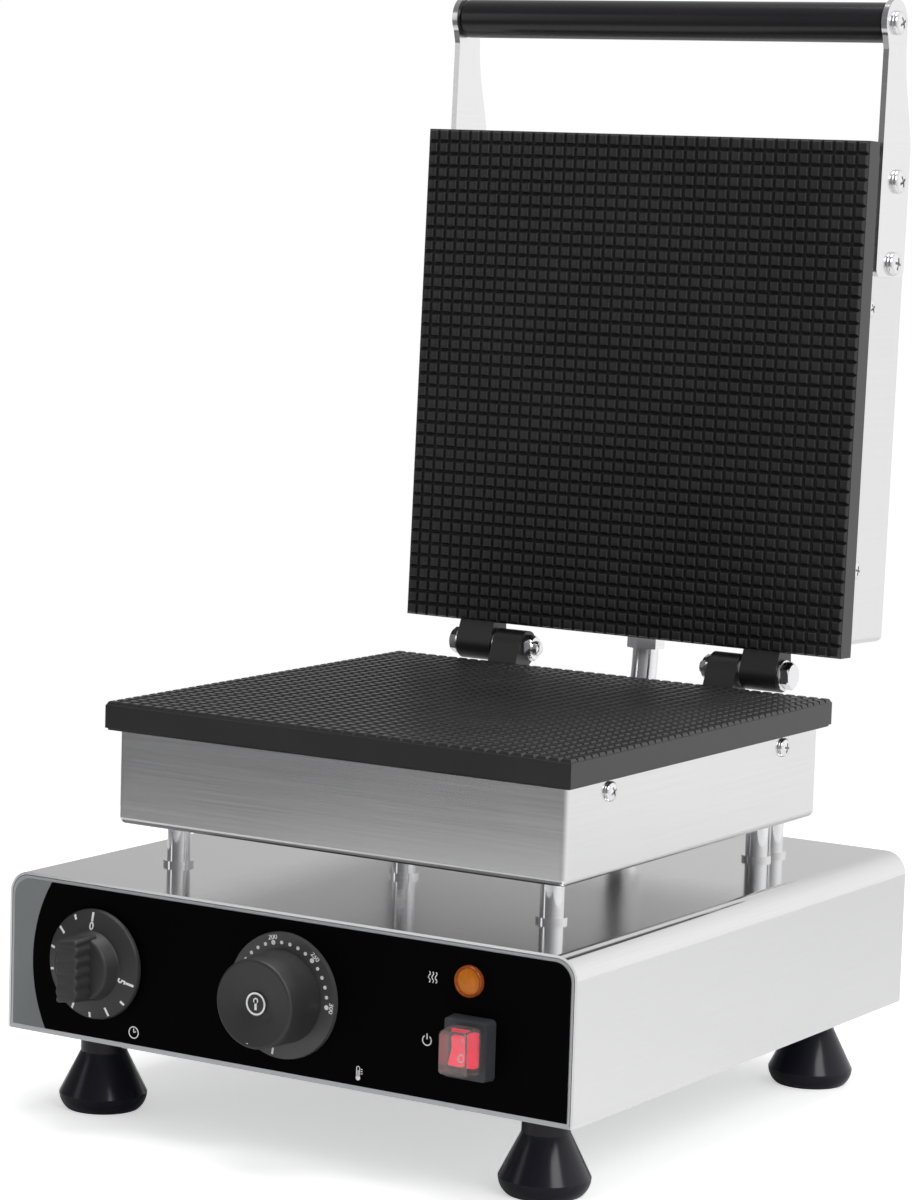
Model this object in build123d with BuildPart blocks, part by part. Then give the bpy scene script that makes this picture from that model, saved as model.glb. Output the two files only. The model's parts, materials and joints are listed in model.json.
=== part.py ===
from build123d import *
import os
from math import cos, radians, sin

# Double-plate waffle iron on a control base, stored with its lid open.
# Millimetres. +Z up, front towards -Y, x = 0 is the symmetry plane.

# Control base
base_width = 303
base_depth = 320
base_height = 74
foot_height = 39
sheet = 1.2
bend_radius = 10.5
panel_border = 3
overlay_thickness = 0.5
fit_gap = 0.3
touch_gap = 0.05

# Cooking plates and the steel boxes round their heaters
plate_size = 250
plate_thickness = 13.5
plates_gap = 0.6
box_width = 241
box_depth = 240
box_height = 44
box_bend = 3
grid_count = 20
groove_depth = 1.8
groove_half_width = 2.4
post_height = 20

# Hinge and the angle at which the open lid rests
hinge_rise = 6.9
hinge_setback = 136.5
open_angle = 92
knuckle_radius = 8.5
lower_knuckle_inner = 54
lower_knuckle_outer = 70.5
upper_knuckle_inner = 72
upper_knuckle_outer = 92
hinge_bolt_radius = 4
running_clearance = 0.05

# Reach of the front controls and of the open lid set where the middle lies
control_reach = 24
lid_low = plates_gap - hinge_rise
lid_plate_top = lid_low + plate_thickness
lid_box_top = lid_plate_top + box_height
lid_box_front = -hinge_setback - box_depth / 2
lean_cos = cos(radians(open_angle))
lean_sin = sin(radians(open_angle))
rear_reach = (
    hinge_setback
    + (lid_box_front + box_bend) * lean_cos
    + (lid_box_top - box_bend) * lean_sin
    + box_bend
)
front_reach = base_depth / 2 + control_reach
mid_y = (front_reach - rear_reach) / 2

# Heights and places worked out from the sizes above
base_bottom = foot_height
base_top = base_bottom + base_height
box_bottom = base_top + post_height
box_rim = box_bottom + box_height
plate_top = box_rim + plate_thickness
hinge_y = mid_y + hinge_setback
hinge_z = plate_top + hinge_rise
front_y = mid_y - base_depth / 2
rear_y = mid_y + base_depth / 2
face_y = front_y + overlay_thickness

# The lid's own plane: its axes are those of the closed lid, turned to the open pose
lid = Plane((0, hinge_y, hinge_z), x_dir=(1, 0, 0), z_dir=(0, lean_sin, lean_cos))


def lid_point(x, y, z):
    """A place given in the closed lid's axes from the middle of its hinge."""
    return lid.from_local_coords(Vector(x, y, z))


def lid_side_plane(x):
    """A plane square to the hinge axis: its x runs backwards, its y up."""
    return Plane(lid_point(x, 0, 0), x_dir=lid.y_dir, z_dir=lid.x_dir)


def front_plane(x, z, out=0):
    """A plane on the control face, seen from the front, moved out by the given amount."""
    return Plane((x, front_y - out, z), x_dir=(1, 0, 0), z_dir=(0, -1, 0))


def save(piece, name):
    """Labels a finished piece and writes it under its own name."""
    piece.part.label = name
    export_step(piece.part, f"parts/{name}.step")


os.makedirs("parts", exist_ok=True)

# Base shell: one folded sheet, top and two sides, open at front, rear and bottom
post_x = 101.5
post_y = 97
post_radius = 5.5
stud_radius = 3
stud_hole = stud_radius + touch_gap
centre_tube_x = -5
centre_tube_setback = -52
centre_tube_y = mid_y + centre_tube_setback
rear_tube_x = post_x
rear_tube_setback = 113
rear_tube_y = mid_y + rear_tube_setback
tube_outer = 5.5
tube_bore = 4
hose_radius = 6.5
hose_bore = 5
hose_inset = 13
hose_base_y = rear_y - hose_inset
gland_thread = 8
gland_hole = gland_thread + touch_gap

with BuildPart() as base_shell:
    with BuildSketch(Plane.XZ.offset(-rear_y)) as shell_profile:
        with Locations((0, base_bottom)):
            Rectangle(base_width, base_height, align=(Align.CENTER, Align.MIN))
        upper = shell_profile.vertices().group_by(Axis.Y)[-1]
        fillet(upper, bend_radius)
        with Locations((0, base_bottom)):
            Rectangle(
                base_width - 2 * sheet,
                2 * (base_height - sheet - bend_radius),
                align=(Align.CENTER, Align.CENTER),
                mode=Mode.SUBTRACT,
            )
        with Locations((0, base_top - sheet)):
            Rectangle(
                base_width - 2 * bend_radius,
                base_height,
                align=(Align.CENTER, Align.MAX),
                mode=Mode.SUBTRACT,
            )
        bend_x = base_width / 2 - bend_radius
        with Locations((bend_x, base_top - bend_radius), (-bend_x, base_top - bend_radius)):
            Circle(bend_radius - sheet, mode=Mode.SUBTRACT)
    extrude(amount=base_depth - overlay_thickness)
    with Locations(Plane((0, mid_y, base_top))):
        with GridLocations(2 * post_x, 2 * post_y, 2, 2):
            Hole(stud_hole, depth=2 * sheet)
    with Locations((centre_tube_x, centre_tube_y, base_top), (rear_tube_x, rear_tube_y, base_top)):
        Hole(tube_outer + touch_gap, depth=2 * sheet)
    with Locations((0, hose_base_y, base_top)):
        Hole(gland_hole, depth=2 * sheet)
save(base_shell, "base_shell")

# Bottom plate: a tray with low side flanges that lie against the shell
inner_width = base_width - 2 * sheet
tray_flange = 12
foot_x = 120
foot_y = 127.5
foot_screw_radius = 3
panel_screw_radius = 2
panel_screw_x = 90
flange_depth = 15
panel_screw_inset = 9
vent_length = 36
vent_width = 5
vent_count = 5
vent_pitch = 12

with BuildPart() as bottom_plate:
    with BuildSketch(Plane.XZ.offset(-rear_y)):
        with Locations((0, base_bottom)):
            Rectangle(inner_width, tray_flange, align=(Align.CENTER, Align.MIN))
        with Locations((0, base_bottom + sheet)):
            Rectangle(
                inner_width - 2 * sheet,
                tray_flange,
                align=(Align.CENTER, Align.MIN),
                mode=Mode.SUBTRACT,
            )
    extrude(amount=base_depth - overlay_thickness)
    with Locations(Plane((0, mid_y, base_bottom + sheet))):
        with GridLocations(2 * foot_x, 2 * foot_y, 2, 2):
            Hole(foot_screw_radius + touch_gap, depth=2 * sheet)
    front_screw_y = face_y + sheet + panel_screw_inset
    rear_screw_y = rear_y - sheet - panel_screw_inset
    for screw_y in (front_screw_y, rear_screw_y):
        with Locations(Plane((0, screw_y, base_bottom + sheet))):
            with GridLocations(2 * panel_screw_x, 0, 2, 1):
                Hole(panel_screw_radius + touch_gap, depth=2 * sheet)
    with BuildSketch(Plane.XY.offset(base_bottom)):
        with Locations((0, mid_y)):
            with GridLocations(0, vent_pitch, 1, vent_count):
                SlotOverall(vent_length, vent_width)
    extrude(amount=sheet, mode=Mode.SUBTRACT)
    with Locations((0, face_y, base_bottom + sheet), (0, rear_y, base_bottom + sheet)):
        Box(
            base_width,
            2 * (sheet + fit_gap),
            tray_flange,
            align=(Align.CENTER, Align.CENTER, Align.MIN),
            mode=Mode.SUBTRACT,
        )
save(bottom_plate, "bottom_plate")

# Front and rear panels: flat sheets inside the shell with a fold-back over the tray
panel_width = inner_width - 2 * fit_gap
panel_low = base_bottom + sheet
panel_high = base_top - sheet - fit_gap
panel_corner = bend_radius - sheet - fit_gap
dial_rise = 37
lamp_rise = 57
switch_rise = 28.5
cord_gland_rise = 34
timer_x = -100
timer_z = base_bottom + dial_rise
thermostat_x = 3
thermostat_z = base_bottom + dial_rise
lamp_x = 99
lamp_z = base_bottom + lamp_rise
switch_x = 101.4
switch_z = base_bottom + switch_rise
shaft_radius = 3
bush_radius = 5
lamp_body_radius = 6
switch_body_width = 18.5
switch_body_height = 22
cord_gland_x = -105
cord_gland_z = base_bottom + cord_gland_rise
cord_gland_thread = 10
cord_bore = 4.5


def panel_profile(low):
    """The outline of a front or rear panel, above the given height."""
    with BuildSketch(mode=Mode.PRIVATE) as outline:
        with Locations((0, (low + panel_high) / 2)):
            Rectangle(panel_width, panel_high - low)
        fillet(outline.vertices().group_by(Axis.Y)[-1], panel_corner)
    return outline.sketch


with BuildPart() as front_panel:
    with BuildSketch(Plane.XZ.offset(-face_y - sheet)):
        add(panel_profile(panel_low))
    extrude(amount=sheet)
    with BuildSketch(Plane.XY.offset(panel_low)):
        with Locations((0, face_y)):
            Rectangle(
                panel_width - 2 * tray_flange,
                sheet + flange_depth,
                align=(Align.CENTER, Align.MIN),
            )
    extrude(amount=sheet)
    with Locations(front_plane(timer_x, timer_z), front_plane(thermostat_x, thermostat_z)):
        Hole(bush_radius + touch_gap, depth=flange_depth)
    with Locations(front_plane(lamp_x, lamp_z)):
        Hole(lamp_body_radius + touch_gap, depth=flange_depth)
    with BuildSketch(front_plane(switch_x, switch_z)):
        Rectangle(switch_body_width + 2 * touch_gap, switch_body_height + 2 * touch_gap)
    extrude(amount=-flange_depth, mode=Mode.SUBTRACT)
    with Locations(Plane((0, front_screw_y, panel_low + sheet))):
        with GridLocations(2 * panel_screw_x, 0, 2, 1):
            Hole(panel_screw_radius + touch_gap, depth=2 * sheet)
save(front_panel, "front_panel")

with BuildPart() as rear_panel:
    with BuildSketch(Plane.XZ.offset(-rear_y)):
        add(panel_profile(panel_low))
    extrude(amount=sheet)
    with BuildSketch(Plane.XY.offset(panel_low)):
        with Locations((0, rear_y)):
            Rectangle(
                panel_width - 2 * tray_flange,
                sheet + flange_depth,
                align=(Align.CENTER, Align.MAX),
            )
    extrude(amount=sheet)
    rear_gland_plane = Plane((cord_gland_x, rear_y, cord_gland_z), z_dir=(0, 1, 0))
    with Locations(rear_gland_plane):
        Hole(cord_gland_thread + touch_gap, depth=flange_depth)
    with Locations(Plane((0, rear_screw_y, panel_low + sheet))):
        with GridLocations(2 * panel_screw_x, 0, 2, 1):
            Hole(panel_screw_radius + touch_gap, depth=2 * sheet)
save(rear_panel, "rear_panel")

# Control overlay: a thin printed sheet inside the steel border
overlay_lip = 2.3
overlay_low = base_bottom + overlay_lip
overlay_high = base_top - panel_border
overlay_half = base_width / 2 - panel_border
overlay_corner = 8.5
dial_recess = 5.2

with BuildPart() as panel_overlay:
    with BuildSketch(front_plane(0, 0)) as overlay_outline:
        with Locations((0, (overlay_low + overlay_high) / 2)):
            Rectangle(2 * overlay_half, overlay_high - overlay_low)
        fillet(overlay_outline.vertices().group_by(Axis.Y)[-1], overlay_corner)
    extrude(amount=-overlay_thickness)
    with Locations(front_plane(timer_x, timer_z), front_plane(thermostat_x, thermostat_z)):
        Hole(dial_recess, depth=2 * overlay_thickness)
    with Locations(front_plane(lamp_x, lamp_z)):
        Hole(lamp_body_radius + touch_gap, depth=2 * overlay_thickness)
    with BuildSketch(front_plane(switch_x, switch_z)):
        Rectangle(switch_body_width + 2 * touch_gap, switch_body_height + 2 * touch_gap)
    extrude(amount=-overlay_thickness, mode=Mode.SUBTRACT)
save(panel_overlay, "panel_overlay")

# Feet: turned plastic legs, widest just above the floor
foot_neck = 10.8
foot_flare = 20.5
foot_tread = 17
neck_low = 27
flare_top = 7.4
tread_radius = 10
foot_counterbore = 6
foot_counterbore_depth = 26

foot_places = {
    "foot_front_left": (-foot_x, mid_y - foot_y),
    "foot_front_right": (foot_x, mid_y - foot_y),
    "foot_rear_left": (-foot_x, mid_y + foot_y),
    "foot_rear_right": (foot_x, mid_y + foot_y),
}
for foot_name, (place_x, place_y) in foot_places.items():
    with BuildPart(Plane((place_x, place_y, 0))) as foot:
        with BuildSketch(Plane((place_x, place_y, 0), x_dir=(1, 0, 0), z_dir=(0, -1, 0))):
            with BuildLine():
                Polyline(
                    (foot_tread, 0),
                    (foot_counterbore, 0),
                    (foot_counterbore, foot_counterbore_depth),
                    (foot_screw_radius + touch_gap, foot_counterbore_depth),
                    (foot_screw_radius + touch_gap, foot_height),
                    (foot_neck, foot_height),
                    (foot_neck, neck_low),
                    (foot_flare, flare_top),
                )
                RadiusArc((foot_flare, flare_top), (foot_tread, 0), tread_radius)
            make_face()
        revolve(axis=Axis((place_x, place_y, 0), (0, 0, 1)))
    save(foot, foot_name)


head_taper = 20


def pan_screw(places, shank, length, head, head_height):
    """Pan-head screws: each place is a plane whose z points out of the head."""
    with BuildPart() as screws:
        for place in places:
            with BuildSketch(place):
                Circle(head)
            extrude(amount=head_height, taper=head_taper)
            with BuildSketch(place):
                Circle(shank)
            extrude(amount=-length)
    return screws


# Screws through the feet, heads inside the feet, nuts on the tray
nut_height = 5
screw_overrun = 2
foot_screw_head = 5
foot_screw_head_height = 4
with BuildPart() as foot_screws:
    with Locations((0, mid_y, foot_counterbore_depth)):
        with GridLocations(2 * foot_x, 2 * foot_y, 2, 2):
            Cylinder(
                foot_screw_head,
                foot_screw_head_height,
                align=(Align.CENTER, Align.CENTER, Align.MAX),
            )
            Cylinder(
                foot_screw_radius,
                base_bottom + sheet + nut_height + screw_overrun - foot_counterbore_depth,
                align=(Align.CENTER, Align.CENTER, Align.MIN),
            )
save(foot_screws, "foot_screws")

nut_radius = 5.8

with BuildPart() as foot_nuts:
    with BuildSketch(Plane.XY.offset(base_bottom + sheet)):
        with Locations((0, mid_y)):
            with GridLocations(2 * foot_x, 2 * foot_y, 2, 2):
                RegularPolygon(nut_radius, 6)
                Circle(foot_screw_radius + touch_gap, mode=Mode.SUBTRACT)
    extrude(amount=nut_height)
save(foot_nuts, "foot_nuts")

# Screws that hold the two panels to the tray from below
down = (0, 0, -1)
panel_screw_length = 8
panel_screw_head = 4
panel_screw_head_height = 2.4
panel_screws = pan_screw(
    [
        Plane((side * panel_screw_x, screw_y, base_bottom), x_dir=(1, 0, 0), z_dir=down)
        for side in (-1, 1)
        for screw_y in (front_screw_y, rear_screw_y)
    ],
    panel_screw_radius,
    panel_screw_length,
    panel_screw_head,
    panel_screw_head_height,
)
save(panel_screws, "panel_screws")

# Four spacer posts with a stud at each end, and the collars at their feet
stud_length = 9
collar_radius = 7.25
collar_height = 2

with BuildPart() as spacer_posts:
    with Locations((0, mid_y, base_top)):
        with GridLocations(2 * post_x, 2 * post_y, 2, 2):
            Cylinder(post_radius, post_height, align=(Align.CENTER, Align.CENTER, Align.MIN))
    with Locations((0, mid_y, base_top - stud_length)):
        with GridLocations(2 * post_x, 2 * post_y, 2, 2):
            Cylinder(
                stud_radius,
                post_height + 2 * stud_length,
                align=(Align.CENTER, Align.CENTER, Align.MIN),
            )
save(spacer_posts, "spacer_posts")

with BuildPart() as post_collars:
    with BuildSketch(Plane.XY.offset(base_top)):
        with Locations((0, mid_y)):
            with GridLocations(2 * post_x, 2 * post_y, 2, 2):
                Circle(collar_radius)
                Circle(post_radius + touch_gap, mode=Mode.SUBTRACT)
        for tube_x, tube_y in ((centre_tube_x, centre_tube_y), (rear_tube_x, rear_tube_y)):
            with Locations((tube_x, tube_y)):
                Circle(collar_radius)
                Circle(tube_outer + touch_gap, mode=Mode.SUBTRACT)
    extrude(amount=collar_height)
save(post_collars, "post_collars")

with BuildPart() as post_nuts:
    for nut_z in (base_top - sheet - nut_height, box_bottom + sheet):
        with BuildSketch(Plane.XY.offset(nut_z)):
            with Locations((0, mid_y)):
                with GridLocations(2 * post_x, 2 * post_y, 2, 2):
                    RegularPolygon(nut_radius, 6)
                    Circle(stud_radius + touch_gap, mode=Mode.SUBTRACT)
        extrude(amount=nut_height)
save(post_nuts, "post_nuts")

# Two tubes that lead wires and the probe up between the posts
tube_overrun = 6
for tube_name, tube_x, tube_y in (
    ("wiring_tube_centre", centre_tube_x, centre_tube_y),
    ("wiring_tube_rear", rear_tube_x, rear_tube_y),
):
    with BuildPart() as wiring_tube:
        with BuildSketch(Plane.XY.offset(base_top - tube_overrun)):
            with Locations((tube_x, tube_y)):
                Circle(tube_outer)
                Circle(tube_bore, mode=Mode.SUBTRACT)
        extrude(amount=post_height + 2 * tube_overrun)
    save(wiring_tube, tube_name)

# Lower box: a folded steel pan that carries the lower plate
box_corner = 3
box_screw_y = 83
box_screw_drop = 6
box_screw_radius = 2.5
box_screw_head = 4.6
box_screw_head_height = 2.6


def heater_box(low, high, place, centre_y):
    """A pan open at its high end, on the plane given, between two heights."""
    towards = 1 if high > low else -1
    with BuildPart() as pan:
        with BuildSketch(place.offset(low)):
            with Locations((0, centre_y)):
                RectangleRounded(box_width, box_depth, box_corner)
        extrude(amount=high - low)
        closed_end = pan.faces().sort_by(Axis(place.origin, place.z_dir * towards))[0]
        fillet(closed_end.edges(), box_bend)
        with BuildSketch(place.offset(low + towards * sheet)):
            with Locations((0, centre_y)):
                RectangleRounded(box_width - 2 * sheet, box_depth - 2 * sheet, box_corner - sheet)
        extrude(amount=high - low, mode=Mode.SUBTRACT)
    return pan


lower_pan = heater_box(box_bottom, box_rim, Plane.XY, mid_y)
with BuildPart() as lower_box:
    add(lower_pan.part)
    with Locations(Plane((0, mid_y, box_bottom + sheet))):
        with GridLocations(2 * post_x, 2 * post_y, 2, 2):
            Hole(stud_hole, depth=2 * sheet)
    for tube_x, tube_y in ((centre_tube_x, centre_tube_y), (rear_tube_x, rear_tube_y)):
        with Locations((tube_x, tube_y, box_bottom + sheet)):
            Hole(tube_outer + touch_gap, depth=2 * sheet)
    with Locations(Plane((0, mid_y, box_rim - box_screw_drop), x_dir=(0, 1, 0), z_dir=(1, 0, 0))):
        with GridLocations(2 * box_screw_y, 0, 2, 1):
            Hole(box_screw_radius + touch_gap)
save(lower_box, "lower_box")

# Cooking plates: slab with a grid of blunt pyramids, bosses for the box screws,
# a bed for the heater and two hinge knuckles
pitch = plate_size / grid_count
boss_width = 16
boss_height = 12
boss_depth = 12
box_inner = box_width / 2 - sheet
heater_radius = 4
heater_bed = 3
heater_offset_x = 75
heater_reach_y = 85


def ridge_outline(low, high, outwards):
    """Half the grid: a slab section whose one long side is a row of blunt ridges."""
    ground = high - outwards * groove_depth
    outline = [(-plate_size / 2, low), (-plate_size / 2, ground)]
    for ridge in range(grid_count):
        start = -plate_size / 2 + ridge * pitch
        outline.append((start + groove_half_width, high))
        outline.append((start + pitch - groove_half_width, high))
        outline.append((start + pitch, ground))
    outline.append((plate_size / 2, low))
    return outline


def grid_slab(place, centre_y, low, high):
    """A plate whose high face carries the grid: two ridged bars crossing each other."""
    outwards = 1 if high > low else -1
    centre = place.from_local_coords(Vector(0, centre_y, 0))
    with BuildPart() as slab:
        with BuildSketch(Plane(centre, x_dir=place.y_dir, z_dir=place.x_dir)):
            with BuildLine():
                Polyline(*ridge_outline(low, high, outwards), close=True)
            make_face()
        extrude(amount=plate_size / 2, both=True)
        with BuildSketch(Plane(centre, x_dir=place.x_dir, z_dir=-place.y_dir)):
            with BuildLine():
                Polyline(*ridge_outline(low, high, outwards), close=True)
            make_face()
        extrude(amount=plate_size / 2, both=True, mode=Mode.INTERSECT)
    return slab


def knuckle_pair(side_plane, inner, outer, edge, low, high):
    """Two hinge knuckles, each a barrel with a web to the plate's rear edge."""
    with BuildPart() as knuckles:
        for start in (inner, -outer):
            with BuildSketch(side_plane(start)):
                with BuildLine():
                    Line((edge, low), (edge, high))
                    CenterArc((0, 0), knuckle_radius, 0, 360)
                make_hull()
                Circle(hinge_bolt_radius + running_clearance, mode=Mode.SUBTRACT)
            extrude(amount=outer - inner)
    return knuckles


def base_side_plane(x):
    """A plane square to the hinge axis, in the base's own axes."""
    return Plane((x, hinge_y, hinge_z), x_dir=(0, 1, 0), z_dir=(1, 0, 0))


plate_edge = -hinge_setback + plate_size / 2

lower_slab = grid_slab(Plane.XY, mid_y, box_rim, plate_top)
lower_knuckles = knuckle_pair(
    base_side_plane,
    lower_knuckle_inner,
    lower_knuckle_outer,
    plate_edge,
    box_rim - hinge_z + sheet,
    plate_top - hinge_z - groove_depth,
)
with BuildPart() as lower_plate:
    add(lower_slab.part)
    add(lower_knuckles.part)
    with BuildSketch(Plane.XY.offset(box_rim)):
        for side in (-1, 1):
            with Locations((side * (box_inner - fit_gap - boss_depth / 2), mid_y)):
                with GridLocations(0, 2 * box_screw_y, 1, 2):
                    Rectangle(boss_depth, boss_width)
    extrude(amount=-boss_height)
    with Locations(Plane((0, mid_y, box_rim - box_screw_drop), x_dir=(0, 1, 0), z_dir=(1, 0, 0))):
        with GridLocations(2 * box_screw_y, 0, 2, 1):
            Hole(box_screw_radius + touch_gap)
save(lower_plate, "lower_plate")

side_screw_length = 12
lower_box_screws = pan_screw(
    [
        Plane(
            (side * box_width / 2, mid_y + y, box_rim - box_screw_drop),
            x_dir=(0, 1, 0),
            z_dir=(side, 0, 0),
        )
        for side in (-1, 1)
        for y in (-box_screw_y, box_screw_y)
    ],
    box_screw_radius,
    side_screw_length,
    box_screw_head,
    box_screw_head_height,
)
save(lower_box_screws, "lower_box_screws")

# Heaters: a tube bent to a double hairpin, pressed flat against each plate
hairpin_half_width = 25
hairpin_bend = 15
end_drop = 20


def heater(place, centre_y, height, towards):
    """A bent heating tube under one plate; its two ends turn away from the plate."""
    left = -heater_offset_x
    rows = [left + 2 * hairpin_half_width * leg for leg in range(4)]
    reach = heater_reach_y
    route = [
        (rows[0], centre_y - reach, height + towards * end_drop),
        (rows[0], centre_y - reach, height),
        (rows[0], centre_y + reach, height),
        (rows[1], centre_y + reach, height),
        (rows[1], centre_y - reach, height),
        (rows[2], centre_y - reach, height),
        (rows[2], centre_y + reach, height),
        (rows[3], centre_y + reach, height),
        (rows[3], centre_y - reach, height),
        (rows[3], centre_y - reach, height + towards * end_drop),
    ]
    points = [place.from_local_coords(Vector(*point)) for point in route]
    start_direction = points[1] - points[0]
    with BuildPart() as tube:
        with BuildLine() as path:
            FilletPolyline(*points, radius=hairpin_bend)
        with BuildSketch(Plane(points[0], z_dir=start_direction)):
            Circle(heater_radius)
        sweep(path=path.line)
    return tube


lower_heater = heater(Plane.XY, mid_y, box_rim - heater_radius - touch_gap, -1)
save(lower_heater, "lower_heater")

insulation_height = 14
insulation_size = 200
insulation_hole = 18


def insulation_slab(place, centre_y, low):
    """A mat of insulation on the box floor, cut out round the heater ends and tubes."""
    with BuildPart() as mat:
        with BuildSketch(place.offset(low)):
            with Locations((0, centre_y)):
                Rectangle(insulation_size, insulation_size)
            cut_x = heater_offset_x
            cut_y = centre_y - heater_reach_y
            with Locations((-cut_x, cut_y), (cut_x, cut_y)):
                Circle(insulation_hole / 2, mode=Mode.SUBTRACT)
            with Locations((centre_tube_x, centre_y + centre_tube_y - mid_y)):
                Circle(insulation_hole / 2, mode=Mode.SUBTRACT)
            with Locations((0, centre_y)):
                with GridLocations(2 * post_x, 2 * post_y, 2, 2):
                    Circle(insulation_hole, mode=Mode.SUBTRACT)
        extrude(amount=insulation_height)
    return mat


lower_insulation = insulation_slab(Plane.XY, mid_y, box_bottom + sheet)
save(lower_insulation, "lower_insulation")

# Hinge bolts with their nuts, and washers between the knuckles
bolt_head_radius = 7.5
bolt_head_height = 5.5
hinge_nut_height = 6.5
bolt_overrun = 1.5
bolt_length = upper_knuckle_outer + fit_gap - lower_knuckle_inner + hinge_nut_height + bolt_overrun

for side_name, side in (("left", -1), ("right", 1)):
    head_plane = Plane(
        (side * upper_knuckle_outer, hinge_y, hinge_z), x_dir=(0, 1, 0), z_dir=(side, 0, 0)
    )
    nut_plane = Plane(
        (side * lower_knuckle_inner, hinge_y, hinge_z), x_dir=(0, 1, 0), z_dir=(-side, 0, 0)
    )
    washer_plane = Plane(
        (side * lower_knuckle_outer, hinge_y, hinge_z), x_dir=(0, 1, 0), z_dir=(side, 0, 0)
    )
    with BuildPart() as hinge_bolt:
        with BuildSketch(head_plane.offset(fit_gap)):
            RegularPolygon(bolt_head_radius, 6)
        extrude(amount=bolt_head_height)
        with BuildSketch(head_plane.offset(fit_gap)):
            Circle(hinge_bolt_radius)
        extrude(amount=-bolt_length)
    save(hinge_bolt, f"hinge_bolt_{side_name}")
    with BuildPart() as hinge_nut:
        with BuildSketch(nut_plane.offset(touch_gap)):
            RegularPolygon(bolt_head_radius, 6)
            Circle(hinge_bolt_radius + touch_gap, mode=Mode.SUBTRACT)
        extrude(amount=hinge_nut_height - touch_gap)
    save(hinge_nut, f"hinge_nut_{side_name}")
    with BuildPart() as hinge_washer:
        with BuildSketch(washer_plane):
            Circle(knuckle_radius - 1)
            Circle(hinge_bolt_radius + touch_gap, mode=Mode.SUBTRACT)
        extrude(amount=upper_knuckle_inner - lower_knuckle_outer - fit_gap)
    save(hinge_washer, f"hinge_washer_{side_name}")

# Timer: clockwork behind the panel, knob with a wide skirt in front
timer_body_size = 44
timer_body_depth = 30
timer_body_corner = 4
skirt_radius = 25.5
skirt_height = 5
skirt_taper = 8
skirt_gap = 1.2
hub_radius = 17
hub_height = 9
hub_taper = 6
hub_rib_count = 32
hub_rib_radius = 0.8
grip_bar_width = 13
grip_bar_length = 31
grip_bar_corner = 2
grip_bar_taper = 6
grip_bar_edge = 1.2
shaft_reach = 14

with BuildPart() as timer_body:
    with BuildSketch(front_plane(timer_x, timer_z, -overlay_thickness - sheet)):
        RectangleRounded(timer_body_size, timer_body_size, timer_body_corner)
    extrude(amount=-timer_body_depth)
    with BuildSketch(front_plane(timer_x, timer_z, -overlay_thickness - sheet)):
        Circle(bush_radius)
    extrude(amount=sheet + overlay_thickness + skirt_gap / 2)
    with BuildSketch(front_plane(timer_x, timer_z, -overlay_thickness - sheet)):
        Circle(shaft_radius)
    extrude(amount=sheet + overlay_thickness + shaft_reach)
save(timer_body, "timer_body")

with BuildPart() as timer_knob:
    with BuildSketch(front_plane(timer_x, timer_z, skirt_gap)):
        Circle(skirt_radius)
    extrude(amount=skirt_height, taper=skirt_taper)
    with BuildSketch(front_plane(timer_x, timer_z, skirt_gap + skirt_height)):
        Circle(hub_radius)
        with PolarLocations(hub_radius, hub_rib_count):
            Circle(hub_rib_radius, mode=Mode.SUBTRACT)
    extrude(amount=hub_height, taper=hub_taper)
    with BuildSketch(front_plane(timer_x, timer_z, skirt_gap + skirt_height)):
        RectangleRounded(grip_bar_width, grip_bar_length, grip_bar_corner)
    extrude(amount=control_reach - skirt_gap - skirt_height, taper=grip_bar_taper)
    fillet(timer_knob.faces().sort_by(Axis.Y)[0].edges(), grip_bar_edge)
    with BuildSketch(front_plane(timer_x, timer_z, skirt_gap)):
        Circle(shaft_radius + running_clearance)
    extrude(amount=shaft_reach, mode=Mode.SUBTRACT)
save(timer_knob, "timer_knob")

# Thermostat: switch body with a capillary probe, fixed dial and round knob
thermostat_body_width = 36
thermostat_body_height = 40
thermostat_body_depth = 28
thermostat_body_corner = 3
dial_radius = 28.5
dial_height = 2.2
dial_taper = 10
dial_bore = 12
knob_radius = 21
knob_gap = 0.6
knob_taper = 4
knob_edge = 2
dish_radius = 15.5
dish_depth = 3
dish_taper = 35

with BuildPart() as thermostat_body:
    with BuildSketch(front_plane(thermostat_x, thermostat_z, -overlay_thickness - sheet)):
        RectangleRounded(thermostat_body_width, thermostat_body_height, thermostat_body_corner)
    extrude(amount=-thermostat_body_depth)
    with BuildSketch(front_plane(thermostat_x, thermostat_z, -overlay_thickness - sheet)):
        Circle(bush_radius)
    extrude(amount=sheet + overlay_thickness + dial_height / 2)
    with BuildSketch(front_plane(thermostat_x, thermostat_z, -overlay_thickness - sheet)):
        Circle(shaft_radius)
    extrude(amount=sheet + overlay_thickness + shaft_reach)
save(thermostat_body, "thermostat_body")

with BuildPart() as thermostat_dial:
    with BuildSketch(front_plane(thermostat_x, thermostat_z)):
        Circle(dial_radius)
        Circle(dial_bore, mode=Mode.SUBTRACT)
    extrude(amount=dial_height, taper=dial_taper)
save(thermostat_dial, "thermostat_dial")

with BuildPart() as thermostat_knob:
    with BuildSketch(front_plane(thermostat_x, thermostat_z, dial_height + knob_gap)):
        Circle(knob_radius)
    extrude(amount=control_reach - dial_height - knob_gap, taper=knob_taper)
    front_rim = thermostat_knob.faces().sort_by(Axis.Y)[0].edges()
    fillet(front_rim, knob_edge)
    dish_centre = front_plane(thermostat_x, thermostat_z, control_reach)
    with BuildSketch(dish_centre):
        Circle(dish_radius)
    extrude(amount=-dish_depth, taper=dish_taper, mode=Mode.SUBTRACT)
    with BuildSketch(front_plane(thermostat_x, thermostat_z, dial_height + knob_gap)):
        Circle(shaft_radius + running_clearance)
    extrude(amount=shaft_reach - dial_height - knob_gap + fit_gap, mode=Mode.SUBTRACT)
save(thermostat_knob, "thermostat_knob")

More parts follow.
